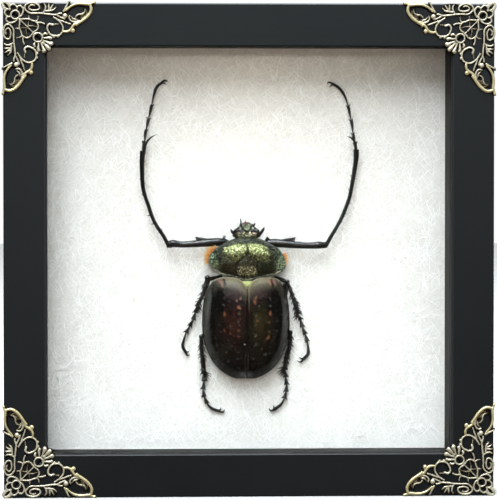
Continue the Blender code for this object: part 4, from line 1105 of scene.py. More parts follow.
head = {
    "axis": 0.35, "centre": (0.35, 7.4), "count": 110, "wall": 3.2, "shrink": 0.96, "drop": 0.0,
    "low": 4.2, "rise": 2.9, "dome": (2.8, 0.6), "slope": 0.32, "topAt": 11.0,
    "half": [(0, 11.1), (1.2, 10.95), (2, 10.45), (2.8, 10.25), (3.05, 9.5), (3.5, 9.05), (4.7, 8.1),
        (5.1, 7), (5.6, 5), (0, 3.4)],
    "nosePlate": [(-2, 10.35), (0.3, 10.7), (2.5, 10.35), (1.9, 8.3), (1.1, 7.3), (-0.5, 7.3),
        (-1.3, 8.3)],
    "darkArcs": [[(-4.7, 7.2), (-4.3, 8), (-2.7, 9.3)], [(5.4, 7.2), (5, 8), (3.4, 9.3)],
        [(-3.6, 7.4), (-2.9, 8)], [(2.6, 7.3), (3.4, 7.7), (4.3, 7.2)]],
    # across, up, half width, half height and tone of the pale marks
    "paleMarks": [(-2.35, 8.7, 0.38, 0.75, (176, 178, 166)), (2.9, 8.7, 0.36, 0.75, (186, 186, 174)),
        (-3.5, 7.7, 0.4, 0.3, (150, 146, 130)), (4.2, 7.9, 0.3, 0.3, (120, 118, 110)),
        (-3, 6.5, 0.5, 0.32, (196, 178, 156)), (-1.2, 6.2, 0.55, 0.4, (190, 182, 140)),
        (-0.7, 6.8, 0.3, 0.3, (150, 152, 104)), (1.7, 6.5, 0.45, 0.45, (204, 196, 150)),
        (2.2, 5.9, 0.45, 0.3, (210, 198, 160)), (3.5, 6.4, 0.75, 0.3, (228, 204, 186)),
        (0.45, 5.6, 0.75, 0.34, (244, 238, 218)), (0.3, 6.4, 0.5, 0.4, (110, 110, 62)),
        (-1.3, 9.9, 0.5, 0.25, (150, 152, 132)), (1.3, 10, 0.5, 0.25, (160, 160, 142)),
        (0.1, 9.5, 0.3, 0.5, (138, 140, 118))],
    "eyes": [(-4.35, 7.0, 6.0), (5.0, 7.0, 6.0)], "eyeSize": (0.8, 0.9, 1.1),
    # the narrow rim of shell across an eye: how far above its middle, how wide and how high
    "eyeRim": (0.25, 0.22, 0.12),
    # across, up, out from the paper and radius of the small tooth at the front
    "frontTooth": [(-0.1, 10.5, 6.6, 0.5), (-0.25, 11.0, 6.5, 0.32), (-0.2, 11.9, 6.4, 0.1)],
}
headNose = head["nosePlate"] + head["nosePlate"][:1]


def headRelief(x, z, share):
    h = head
    height = h["low"] + h["rise"] * domeOf(share, *h["dome"])
    height += h["slope"] * (h["topAt"] - z)
    height += 0.55 * shapeMask(x, z, h["nosePlate"], 0.7) - 0.35 * lineMask(x, z, headNose, 0.25)
    height += 0.3 * lineMask(x, z, headNose[:3], 0.25)
    for arc in h["darkArcs"]:
        height += 0.55 * lineMask(x, z, arc, 0.3)
    for across, up, wide, tall, _ in h["paleMarks"]:
        height += 0.2 * patch(x, z, across, wide, up, tall)
    return height


def paintHead(x, z, share):
    h = head
    fromAxis = np.abs(x - h["axis"])
    colours = freshPaint(len(x), (34, 32, 26))
    layCoats(colours, (shapeMask(x, z, h["nosePlate"], 0.5), (84, 88, 68)),
             (bump(distanceToLine(x, z, headNose), 0.1, 0.2) * 0.7, (30, 34, 22)),
             (fall(z, 6.2, 0.6) * fall(fromAxis, 4.4, 0.8) * 0.9, (112, 116, 88)))
    for across, up, wide, tall, tone in h["paleMarks"]:
        layPaint(colours, patch(x, z, across, wide * 0.9, up, tall * 0.9) * 0.95, tone)
    for arc in h["darkArcs"]:
        layPaint(colours, lineMask(x, z, arc, 0.3) * 0.95, (12, 9, 10))
    layCoats(colours, (rise(fromAxis, 4.3, 0.5) * 0.85, (34, 18, 16)),
             (rise(z, 10.0, 0.4), (22, 12, 11)), (rise(z, 10.6, 0.25), (52, 10, 10)))
    roughen(colours, 0.7 * (grainOf(x, z, 0.5, 9) + 0.5 * grainOf(x, z, 0.34, 10)), 0.2, 2.5)
    return colours


def makeEye(across, up, out):
    above, wide, high = head["eyeRim"]
    eye = addBall(32, 18, mm, fromPaper(across, up, out).tolist(), head["eyeSize"])
    settle(eye)
    places = getPlaces(eye)
    places[:, 1] -= high * mm * bump(places[:, 2], middleHeight + (up + above) * mm, wide * mm)
    setPlaces(eye, places)
    storePaint(eye, freshPaint(len(places), (16, 13, 13)))
    return eye


def makeFrontTooth():
    tooth = drawStrokes([limbPath(head["frontTooth"])], 3, 6)
    storePaint(tooth, freshPaint(len(tooth.data.vertices), (120, 26, 26)))
    return tooth


neckPlate = makeDomedPlate(neckShield, neckSerration(), neckRelief, paintNeck)
finishPiece(neckPlate, "neck_shield", "green", ["prothorax"])
shieldPlate = makeDomedPlate(smallShield, smoothLoop(smallShield["outline"]), smallShieldRelief,
                             paintSmallShield)
finishPiece(shieldPlate, "small_shield", "shield", ["scutellum"])
headPlate = makeDomedPlate(head, smoothLoop(mirrorOutline(head["half"], head["axis"])),
                           headRelief, paintHead)
headPiece = joinPieces([headPlate, makeFrontTooth()] + [makeEye(*place) for place in head["eyes"]],
                       "beetle_head")
finishPiece(headPiece, "beetle_head", "green", ["head"])
print("neck shield, small shield and head made")


# Legs, feelers and trunk

# What both legs of a pair share
legPairs = {
    "front": {
        "shinSwell": 1.14, "footSwell": 1.3, "shinGloss": 0.9, "spines": (8, 0.7),
        "spurStart": 0.5, "spurs": [],
        "footProfile": [(2.8, 0.4), (2.5, 0.45), (2.3, 0.55), (2.2, 0.35), (2, 0.52), (1.9, 0.35),
          (1.7, 0.52), (1.6, 0.35), (1.4, 0.42), (1.3, 0.5), (1.2, 0.45)],
        "clawProfiles": [[(1.3, 0.35), (1.3, 0.28), (0.9, 0.06)], [(1, 0.3), (1, 0.25), (0.8, 0.06)]],
    },
    "middle": {
        "shinSwell": 1.1, "footSwell": 1.4, "shinGloss": 0.8, "spines": (30, 1.6),
        # the spurs in a bunch at the end of a shin: how far across, up and out each one reaches
        "spurStart": 1.0, "spurs": [(2.6, -2.2, -0.4), (1.8, -3.1, 0.2), (0.8, -3.0, -0.2)],
        "footProfile": [(2.4, 0.4), (2.1, 0.55), (2, 0.35), (1.8, 0.52), (1.7, 0.35), (1.6, 0.52),
          (1.5, 0.35), (1.4, 0.5), (1.2, 0.38), (1.1, 0.5), (1, 0.45)],
        "clawProfiles": [[(1.1, 0.35), (1.1, 0.28), (0.8, 0.06)],
          [(0.9, 0.3), (0.9, 0.25), (0.7, 0.06)]],
    },
    "hind": {
        "shinSwell": 1.15, "footSwell": 1.4, "shinGloss": 0.8, "spines": (26, 1.5),
        "spurStart": 2.0, "spurs": [(3.3, -1.4, -0.3), (2.7, -2.4, 0.2), (1.8, -3.0, -0.1),
                                    (0.9, -2.6, 0.1)],
        "footProfile": [(2.1, 0.4), (2, 0.55), (1.9, 0.35), (1.8, 0.52), (1.7, 0.35), (1.5, 0.52),
          (1.4, 0.35), (1.3, 0.5), (1.2, 0.4), (1.1, 0.5), (1, 0.45)],
        "clawProfiles": [[(1.1, 0.35), (1.1, 0.28), (0.8, 0.06)],
          [(0.9, 0.3), (0.9, 0.25), (0.7, 0.06)]],
    },
}
legLook = {
    # how many hairs and how long, and the teeth at the end of each foot joint
    "hairs": {"thigh": (24, 0.5), "shin": (24, 0.6), "foot": (12, 0.5)}, "jointTeeth": (4, 0.6),
    "hairRoot": 0.035 * mm, "hairTip": 0.008 * mm, "spineRoot": 0.27 * mm, "spineTip": 0.06 * mm,
    "jointNeck": 0.45, "jointEnd": 1.42, "clawSwell": 1.3, "footRoot": 0.45,
    "spurRadii": (0.4, 0.32, 0.04),
    # the groove round a knee: depth, distance from its middle and width, as shares of its radius
    "kneeGroove": (0.14, 0.62, 0.12),
    # the patches of gloss: size and seed; how glossy the level parts are, and what faces up more
    "glossPatches": (1.3, 31), "glossUpward": (0.4, 0.9),
}


def addProfile(places, profile):
    return [(*place, *rest) for place, rest in zip(places, profile)]


# Points are across, up, out from the paper and the radius there, in millimetres. Feet and claws
# have only the first two, and the rest comes from their pair. The teeth are those of the thigh and
# the shin, and a knob is where the leg leaves the body
legs = {
    ("front", "left"): {
        "thigh": [(-5.7, 1.7, 4.7, 1), (-9, 2.7, 4.9, 1.6), (-14, 2.65, 5.2, 1.75),
          (-20.3, 2.15, 5.6, 1.5), (-27.2, 1.85, 5.6, 1.36), (-30.5, 2.15, 5.5, 1.6),
          (-31.8, 1.7, 5.4, 1.2)],
        "shin": [(-31.9, 1.55, 5.4, 0.85), (-33.8, 5.1, 5.2, 0.75), (-35.7, 8, 5, 0.72),
          (-37.5, 10.9, 4.8, 0.72), (-39, 14.4, 4.6, 0.74), (-40.1, 17.9, 4.4, 0.74),
          (-41.25, 21.1, 4.2, 0.75), (-42.25, 25, 4.1, 0.78), (-42.7, 31, 3.8, 0.85),
          (-42.7, 37.6, 3.5, 0.95), (-42.4, 40.6, 3.3, 1.1)],
        "teeth": [[(-15.2, 3.2, 5.6, 1), (-18.4, 4, 5.6, 0.7), (-20.8, 5, 5.6, 0.1)],
          [(-19.6, 3.2, 5.6, 0.8), (-20.7, 4.7, 5.6, 0.2)],
          [(-30.6, 1.2, 5.4, 0.9), (-32.6, 0.9, 5.2, 0.45)],
          [(-35, 6.8, 5, 0.4), (-36.4, 6.6, 5.2, 0.05)],
          [(-37.6, 10.6, 4.8, 0.4), (-39.2, 10.1, 5, 0.05)],
          [(-39.2, 14, 4.6, 0.4), (-40.8, 13.7, 4.8, 0.05)],
          [(-42.6, 28.6, 3.9, 0.4), (-44.1, 29.2, 4.1, 0.05)],
          [(-42, 39.7, 4, 0.6), (-41.2, 43.4, 4.4, 0.5), (-39.5, 45.8, 4.6, 0.38),
          (-36.4, 47.7, 4.6, 0.08)]],
        "foot": [(-42.3, 41.2), (-41.6, 44.6), (-41.3, 48.1), (-41, 49.4), (-40.3, 52.9), (-40, 54.2),
          (-39, 58.5), (-38.7, 59.8), (-37.7, 64.3), (-36.5, 67.4), (-34.7, 68.9)],
        "claws": [[(-35, 68.8), (-33.2, 69.9), (-31.9, 69.5)],
          [(-35.2, 68.5), (-33.9, 68.9), (-32.7, 68.1)]],
        "knob": [(-8.6, 4.6, 5.4, 0.9), (-9.4, 4.9, 5.6, 0.5)],
        "knee": (-31.5, 2, 5.8, 1.05)},
    ("front", "right"): {
        "thigh": [(6.3, 1.4, 4.7, 1), (9.6, 2.3, 4.9, 1.6), (14.6, 2.2, 5.2, 1.75),
          (20.3, 1.6, 5.6, 1.5), (27.5, 1.3, 5.6, 1.36), (30.6, 1.5, 5.5, 1.55), (32.6, 1.2, 5.4, 1.1)],
        "shin": [(33.25, 1.35, 5.4, 0.85), (35.4, 5.2, 5.2, 0.75), (37.4, 8.5, 5, 0.72),
          (39.2, 11.7, 4.8, 0.72), (40.7, 15, 4.6, 0.74), (41.9, 18, 4.4, 0.74), (43, 21.2, 4.2, 0.75),
          (44.1, 26.5, 4.1, 0.78), (45.1, 32.4, 3.8, 0.85), (45.8, 37.4, 3.5, 0.95),
          (45.9, 41.2, 3.3, 1.1)],
        "teeth": [[(15.2, 3, 5.6, 1), (18.4, 3.8, 5.6, 0.7), (20.6, 4.8, 5.6, 0.1)],
          [(19.4, 3, 5.6, 0.8), (20.5, 4.5, 5.6, 0.2)], [(31.8, 1, 5.4, 0.9), (33.8, 0.7, 5.2, 0.45)],
          [(36.4, 6.8, 5, 0.4), (37.8, 6.6, 5.2, 0.05)], [(39, 11.3, 4.8, 0.4), (40.5, 11, 5, 0.05)],
          [(40.6, 14.6, 4.6, 0.4), (42.1, 14.4, 4.8, 0.05)],
          [(44.4, 28.6, 3.9, 0.4), (45.9, 29.2, 4.1, 0.05)],
          [(45.7, 40.4, 4, 0.6), (45.3, 44.2, 4.4, 0.5), (43.8, 46, 4.6, 0.38),
          (41.9, 46.8, 4.6, 0.08)]],
        "foot": [(45.8, 41.9), (45.4, 44.2), (44.9, 46.6), (44.7, 48), (44.2, 52.4), (43.9, 53.7),
          (43, 58.2), (42.7, 59.5), (41.1, 64), (38.6, 67.2), (36.2, 68.6)],
        "claws": [[(36.5, 68.5), (34.8, 69.2), (33.9, 68.4)],
          [(36.7, 68.3), (35.6, 67.9), (34.9, 67.1)]],
        "knob": [(8.4, 4.4, 5.4, 0.95), (10.3, 3.2, 5.6, 0.5)],
        "knee": (32.6, 1.8, 5.8, 1.05)},
    ("middle", "left"): {
        "thigh": [(-13.9, -23.2, 3.2, 0.9), (-15.6, -20.3, 3.6, 1.1), (-16.2, -16, 4, 1.1),
          (-15.3, -12.6, 4.5, 0.9)],
        "shin": [(-15.9, -12.2, 6.8, 0.75), (-16.8, -15.6, 6.3, 0.7), (-17.9, -19.6, 5.3, 0.72),
          (-19.3, -22.5, 4, 0.75), (-20.1, -24.1, 3.1, 0.85)],
        "teeth": [[(-16.5, -14.4, 6.4, 0.3), (-18.3, -15.2, 6.6, 0.05)],
          [(-17.3, -17.6, 5.8, 0.3), (-19.2, -18.6, 5.9, 0.05)],
          [(-19.4, -22.7, 3.9, 0.3), (-21.2, -23.6, 4.1, 0.05)],
          [(-19.5, -23.2, 3.3, 0.35), (-17.9, -26.4, 2.6, 0.05)]],
        "foot": [(-20.4, -25.1), (-20.7, -26.6), (-20.9, -27.4), (-21.6, -29.6), (-22, -30.4),
          (-23.1, -32.3), (-23.4, -33.2), (-24.5, -35.1), (-25.5, -38.3), (-25.9, -40.6),
          (-24.6, -43.4)],
        "claws": [[(-24.8, -43.1), (-23.9, -44.6), (-22.9, -44.3)],
          [(-25, -42.9), (-23.9, -43.2), (-23.1, -42.6)]],
        "knob": [(-9.8, -11.5, 4.6, 0.7), (-12.6, -12, 5.4, 0.75), (-14.4, -12.4, 6, 0.85),
          (-15.9, -12.2, 6.5, 0.8)],
        "knee": (-15.9, -12, 6.7, 1.1)},
    ("middle", "right"): {
        "thigh": [(13.9, -23.4, 3.2, 0.9), (15.8, -20.6, 3.6, 1.1), (16.6, -17, 4, 1.1),
          (16.3, -14.4, 4.5, 0.9)],
        "shin": [(17, -14, 6.8, 0.75), (18.3, -16.8, 6.3, 0.7), (19.4, -19.7, 5.3, 0.72),
          (20.4, -22.6, 4.2, 0.75), (21.8, -27.2, 3.1, 0.85)],
        "teeth": [[(18, -15.9, 6.4, 0.3), (19.7, -16.7, 6.6, 0.05)],
          [(18.9, -18.2, 5.8, 0.3), (20.7, -19.2, 5.9, 0.05)],
          [(20, -21.2, 4.8, 0.3), (21.7, -22.1, 5, 0.05)],
          [(21.1, -26, 3.4, 0.35), (20, -28.5, 2.8, 0.05)],
          [(21.9, -26.3, 3.4, 0.35), (23.9, -28.2, 2.8, 0.05)]],
        "foot": [(22.2, -28.2), (22.9, -29.7), (23.1, -30.6), (23.7, -32.8), (24, -33.7), (24.9, -35.8),
          (25.1, -36.7), (25.8, -38.9), (26.2, -41.9), (26.1, -44.1), (24.2, -46.3)],
        "claws": [[(24.4, -46.1), (22.9, -47.5), (21.6, -46.9)],
          [(24.6, -45.9), (23.3, -46.1), (22.5, -45.4)]],
        "knob": [(11.8, -11.9, 4.6, 0.7), (14.4, -12.6, 5.4, 0.75), (15.9, -13.3, 6, 0.85),
          (17, -13.9, 6.5, 0.8)],
        "knee": (17, -13.7, 6.8, 1.1)},
    ("hind", "left"): {
        "thigh": [(-13.3, -34.1, 2.9, 0.9), (-15.2, -35.1, 3.3, 1.2), (-17.2, -36.1, 3.5, 0.85)],
        "shin": [(-18.3, -36.3, 3.4, 0.8), (-18.1, -43, 3, 0.85), (-17.5, -48.1, 2.7, 0.9),
          (-17.3, -52.3, 2.5, 0.95)],
        "teeth": [[(-18.2, -40.4, 3.2, 0.3), (-19.8, -41.3, 3.3, 0.05)],
          [(-18, -43.4, 3, 0.3), (-19.6, -44.3, 3.1, 0.05)],
          [(-17.7, -46.6, 2.8, 0.3), (-19.1, -47.5, 2.9, 0.05)],
          [(-17, -51.2, 2.8, 0.4), (-14, -52.6, 2.6, 0.05)]],
        "foot": [(-17.3, -53.2), (-17.1, -55.2), (-17.2, -56.1), (-17.5, -58.7), (-17.4, -59.6),
          (-17, -61.8), (-16.7, -62.8), (-15.9, -64.5), (-14.6, -66.2), (-12.7, -67.3), (-10.4, -68)],
        "claws": [[(-10.8, -67.9), (-9.2, -68.3), (-8.4, -67.2)],
          [(-11.2, -67.8), (-10.3, -67.2), (-10, -66.3)]],
        "knob": [(-17.6, -36.2, 3.5, 0.9), (-18.3, -36.4, 3.4, 0.7)],
        "knee": (-18.3, -36.6, 4, 1.05)},
    ("hind", "right"): {
        "thigh": [(13.3, -32.5, 2.9, 0.9), (15.3, -33.5, 3.3, 1.2), (17.4, -34.5, 3.5, 0.85)],
        "shin": [(18.5, -34.7, 3.4, 0.8), (18.3, -40.5, 3.1, 0.85), (17.1, -45, 2.8, 0.9),
          (16.3, -50.6, 2.5, 0.95)],
        "teeth": [[(18.5, -38.6, 3.2, 0.3), (20, -39.4, 3.3, 0.05)],
          [(18.1, -41.3, 3, 0.3), (19.5, -42.4, 3.1, 0.05)],
          [(17.3, -44.2, 2.8, 0.3), (18.7, -45.3, 2.9, 0.05)],
          [(16.1, -49.4, 2.8, 0.4), (13.1, -50.3, 2.6, 0.05)]],
        "foot": [(16.4, -51.5), (16.8, -53.7), (16.9, -54.6), (17.2, -56.8), (17.2, -57.7), (17, -59.8),
          (16.8, -60.7), (16.3, -62.7), (14.9, -65.1), (13.2, -66.5), (11.5, -67.7)],
        "claws": [[(11.8, -67.5), (10.6, -67.8), (9.9, -66.7)],
          [(12.2, -67.2), (11.9, -66.3), (12, -65.5)]],
        "knob": [(17.8, -34.6, 3.5, 0.9), (18.5, -34.8, 3.4, 0.7)],
        "knee": (18.5, -35, 4, 1.05)},
}
for (pair, _), leg in legs.items():
    leg["foot"] = addProfile(leg["foot"], legPairs[pair]["footProfile"])
    leg["claws"] = [addProfile(*claw) for claw in zip(leg["claws"], legPairs[pair]["clawProfiles"])]


def alongPath(points, count, draw, low, high):
    # Random places on a limb: the middle, the way it runs, and the radius there
    points = np.array(points, float)
    steps = np.linalg.norm(np.diff(points[:, :3], axis=0), axis=1)
    length = np.concatenate([[0.0], np.cumsum(steps)])
    where = draw.uniform(low, high, count) * length[-1]
    middle, ahead, behind = (
        np.stack([np.interp(where + shift, length, column) for column in points.T], axis=-1)
        for shift in (0.0, 0.3, -0.3))
    return middle[:, :3], unitRows((ahead - behind)[:, :3], 1e-9), middle[:, 3]


bristleLook = {"raised": 0.6, "length": (0.6, 1.2), "root": 0.9, "stand": 0.7, "bend": 1.4,
               "steps": (0.0, 0.35, 0.7, 1.0)}


def bristlePaths(points, count, length, draw, lean=0.9, low=0.05, high=0.97):
    # Bristles that stand off a limb and lean towards its far end
    b = bristleLook
    middle, run, radius = alongPath(points, count, draw, low, high)
    loose = draw.normal(size=(count, 3))
    loose[:, 2] = np.abs(loose[:, 2]) * b["raised"]
    outward = unitRows(loose - (loose * run).sum(axis=1, keepdims=True) * run, 1e-9)
    reach = length * draw.uniform(*b["length"], count)[:, None]
    root = middle + outward * radius[:, None] * b["root"]
    places = np.stack([root + outward * reach * share * b["stand"]
                       + run * reach * lean * share ** b["bend"] for share in b["steps"]], axis=1)
    return fromPaper(*np.moveaxis(places, -1, 0))


def swell(points, share):
    return [(x, up, out, radius * share) for x, up, out, radius in points]


def makeKnee(across, up, out, radius):
    place = fromPaper(across, up, out)
    knee = addBall(24, 16, radius * mm, place.tolist())
    settle(knee)
    depth, *groove = legLook["kneeGroove"]
    places = getPlaces(knee)
    off = (places - place) / (radius * mm)
    places[:, 1] += depth * radius * mm * bump(np.hypot(off[:, 0], off[:, 2]), *groove)
    setPlaces(knee, places)
    return knee


def footJoints(foot):
    # Each joint of the foot is narrow where it starts and wide at its end
    starts = [0, 2, 4, 6, 8]
    joints = []
    for start, stop in zip(starts, starts[1:] + [len(foot)]):
        joint = foot[start:stop + 1]
        joint[0] = (*joint[0][:3], joint[0][3] * legLook["jointNeck"])
        if stop < len(foot):
            joint[-1] = (*joint[-1][:3], joint[-1][3] * legLook["jointEnd"])
        joints.append(joint)
    return joints


def makeSpurs(end, reaches, mirrored, start):
    # A bunch of curved spurs from the shin's end
    x, up, out, _ = end
    thick, middling, thin = legLook["spurRadii"]
    spurs = []
    for across, along, lift in reaches:
        root = (x, up + start, out, thick)
        bend = (x + mirrored * across * 0.35, up + start * 0.45 + along * 0.55, out + lift, middling)
        tip = (x + mirrored * across, up + along, out + lift * 0.5, thin)
        spurs.append([root, bend, tip])
    return spurs


def storeGloss(part, gloss, patchy):
    # Glossy above and dull below, in patches on the rough parts
    faceOutwards(part)
    normals = np.empty(len(part.data.vertices) * 3, np.float32)
    part.data.vertices.foreach_get("normal", normals)
    x, _, z = getPlaces(part).T / mm
    patches = 1.0 + patchy * grainOf(x, z, *legLook["glossPatches"])
    level, more = legLook["glossUpward"]
    upward = np.clip(level + more * normals.reshape(-1, 3)[:, 2], 0.0, 1.0)
    storeValue(part, np.clip(gloss * upward * patches, 0.0, 1.0), "gloss")


def makeLeg(pair, side, seed):
    leg, both, look = legs[pair, side], legPairs[pair], legLook
    shin = swell(leg["shin"], both["shinSwell"])
    foot = swell([(*shin[-1][:3], look["footRoot"])] + leg["foot"], both["footSwell"])
    joints = footJoints(foot)
    spurs = makeSpurs(shin[-1], both["spurs"], 1 if side == "left" else -1, both["spurStart"])
    thigh = drawStrokes([limbPath(leg["thigh"]), limbPath(leg["knob"])], 5, 8)
    knee = makeKnee(*leg["knee"])
    shank = drawStrokes([limbPath(shin)], 1, 6)
    ridged = drawStrokes([limbPath(joint) for joint in joints], 1, 6)
    for part, gloss, patchy in ((thigh, 1.0, 0.0), (knee, 1.0, 0.0), (ridged, 0.8, 1.2),
                                (shank, both["shinGloss"], 0.9)):
        storeGloss(part, gloss, patchy)
    claws = [swell(claw, look["clawSwell"]) for claw in leg["claws"]]
    thin = drawStrokes([limbPath(path) for path in leg["teeth"] + claws + spurs], 3, 5)
    shell = joinPieces([thigh, shank, ridged, thin, knee], "leg")
    faceOutwards(shell)
    finishPiece(shell, f"leg_{pair}_{side}", "black",
                [f"{pair}_{side}_{part}" for part in ("femur", "tibia", "tarsus")], 38)
    draw = np.random.default_rng(seed)
    paths = [bristlePaths(leg[part], *look["hairs"][part], draw) for part in look["hairs"]]
    hairs = makeHairs("bristles", np.concatenate(paths), look["hairRoot"], look["hairTip"])
    paths = [bristlePaths(shin, *both["spines"], draw, 0.8, 0.1, 0.99)]
    for joint in joints[:-1]:
        paths.append(bristlePaths(joint[-2:], *look["jointTeeth"], draw, 1.1, 0.7, 0.98))
    spines = makeHairs("spines", np.concatenate(paths), look["spineRoot"], look["spineTip"], 5)
    finishPiece(joinPieces([hairs, spines], "bristles"), f"leg_bristles_{pair}_{side}",
                "legHair")


for number, (pair, side) in enumerate(legs):
    makeLeg(pair, side, 40 + number)

# Feelers: points like those of the legs, and the place and lean of an antenna's club
feelers = {
    "feeler_left": {"node": "antenna_left", "club": (-5.6, 7.2, 6.9, 0.5), "stalk": [
        (-4.2, 5.6, 6.4, 0.5), (-4.9, 6.3, 6.7, 0.66), (-5.6, 7.2, 6.8, 0.5), (-6.3, 8.3, 6.8, 0.1)]},
    "feeler_right": {"node": "antenna_right", "club": (6.9, 7.8, 6.9, -0.5), "stalk": [
        (5.3, 5.5, 6.4, 0.5), (6.2, 6.6, 6.7, 0.66), (6.9, 7.8, 6.8, 0.5), (7.7, 9.1, 6.8, 0.1)]},
    "mouth_feeler_left": {"node": "palp_left", "stalk": [
        (-1.9, 9.2, 6.6, 0.4), (-2.1, 10.1, 6.6, 0.42), (-2.05, 11.0, 6.4, 0.3),
        (-2.2, 12.6, 6.2, 0.2)]},
    "mouth_feeler_right": {"node": "palp_right", "stalk": [
        (3.0, 9.0, 6.6, 0.4), (3.4, 9.8, 6.6, 0.42), (3.7, 10.4, 6.4, 0.3), (3.9, 10.8, 6.2, 0.14)]},
}


# How far apart the plates of a club lie, their size, how they fan out, and how low their hinge is
clubLook = {"apart": 0.22, "size": (0.16, 0.34, 0.95), "fan": 0.12, "hinge": 0.8}


def makeClub(across, up, out, lean):
    # Three thin plates that fold together at the feeler's end
    c = clubLook
    hinge = fromPaper(across, up - c["hinge"], out).tolist()
    plates = []
    for turn in (-1, 0, 1):
        place = fromPaper(across + turn * c["apart"], up, out).tolist()
        plate = addBall(20, 12, mm, place, c["size"])
        editWhole(plate)
        bpy.ops.transform.rotate(value=lean + turn * c["fan"], orient_axis="Y",
                                 center_override=hinge)
        leaveEdit()
        settle(plate)
        plates.append(plate)
    return plates


for name, feeler in feelers.items():
    stalk = drawStrokes([limbPath(feeler["stalk"])], 3, 6)
    club = makeClub(*feeler["club"]) if "club" in feeler else []
    finishPiece(joinPieces([stalk] + club, name), name, "black", [feeler["node"]])

trunk = {"centre": -31.0, "halfLength": 21.9, "halfWidth": 12.5, "low": 0.4, "high": 10.2,
         "squareness": 0.87, "plateEvery": 4.4, "plateHeight": 0.35, "platesBelow": -30,
         "keelHeight": 0.3, "keelWidth": 0.8, "keelAbove": -28}


def makeTrunk():
    t = trunk
    body = addBall(96, 64, 1.0, (0, 0, 0))
    x, y, z = getPlaces(body).T
    squareX, squareZ = (np.sign(part) * np.abs(part) ** t["squareness"] for part in (x, z))
    across, up = squareX * t["halfWidth"], t["centre"] + squareZ * t["halfLength"]
    out = (t["low"] + t["high"]) / 2 - y * (t["high"] - t["low"]) / 2
    # plates across the belly, and a keel between the middle legs
    below = np.clip(y, 0, 1)
    plates = np.abs(np.sin((up - t["platesBelow"]) * math.pi / t["plateEvery"]))
    out += below * (up < t["platesBelow"]) * t["plateHeight"] * plates
    out += below * (up > t["keelAbove"]) * t["keelHeight"] * bump(across, 0, t["keelWidth"])
    setPlaces(body, fromPaper(across, up, np.maximum(out, t["low"])))
    faceOutwards(body)
    finishPiece(body, "beetle_trunk", "black", ["thorax_and_abdomen"])


makeTrunk()
print("legs, feelers and trunk made")


# Orange tufts beside the neck shield: where the hairs start and end, and how far out they lie

tufts = {
    "left": {"count": 900, "seed": 7, "out": (4.8, 7.8),
             "root": [(-12.0, 0.1), (-13.9, -1.4), (-15.0, -3.4), (-15.4, -5.6)],
             "tip": [(-12.6, 1.4), (-15.7, 0.2), (-17.2, -2.6), (-16.7, -6.6)]},
    "right": {"count": 260, "seed": 8, "out": (4.8, 7.6),
              "root": [(15.2, -2.4), (15.7, -3.6), (15.8, -5.0), (15.6, -6.4)],
              "tip": [(16.7, -1.8), (17.5, -3.4), (17.6, -5.2), (16.8, -7.4)]},
}
tuftHair = {"rootRadius": 0.055 * mm, "tipRadius": 0.012 * mm, "spread": 0.28, "bow": 0.35,
            "sag": 0.9, "unevenSag": 0.5, "length": (0.6, 1.24)}


def makeTuft(side):
    t, look = tufts[side], tuftHair
    draw = np.random.default_rng(t["seed"])
    share = draw.uniform(0, 1, t["count"])
    marks = np.linspace(0, 1, len(t["root"]))
    root, tip = (np.stack([np.interp(share, marks, column) for column in zip(*t[end])], axis=-1)
                 for end in ("root", "tip"))
    tip = root + (tip - root) * draw.uniform(*look["length"], t["count"])[:, None]
    tip += draw.normal(0, look["spread"], tip.shape)
    out = draw.uniform(*t["out"], t["count"])
    sag = draw.uniform(-look["unevenSag"], look["unevenSag"], t["count"])
    steps = []
    for part in (0.0, 0.25, 0.5, 0.75, 1.0):
        x, up = (root + (tip - root) * part).T
        bow = math.sin(part * math.pi) * look["bow"]
        steps.append(fromPaper(x, up + bow, out + sag * part - part * look["sag"]))
    hairs = makeHairs("tuft", np.stack(steps, axis=1), look["rootRadius"], look["tipRadius"])
    finishPiece(hairs, f"hair_fringe_{side}", "orangeHair", [f"hair_tuft_{side}"])


makeTuft("left")
makeTuft("right")
print("hair tufts made")


# Corner ornaments

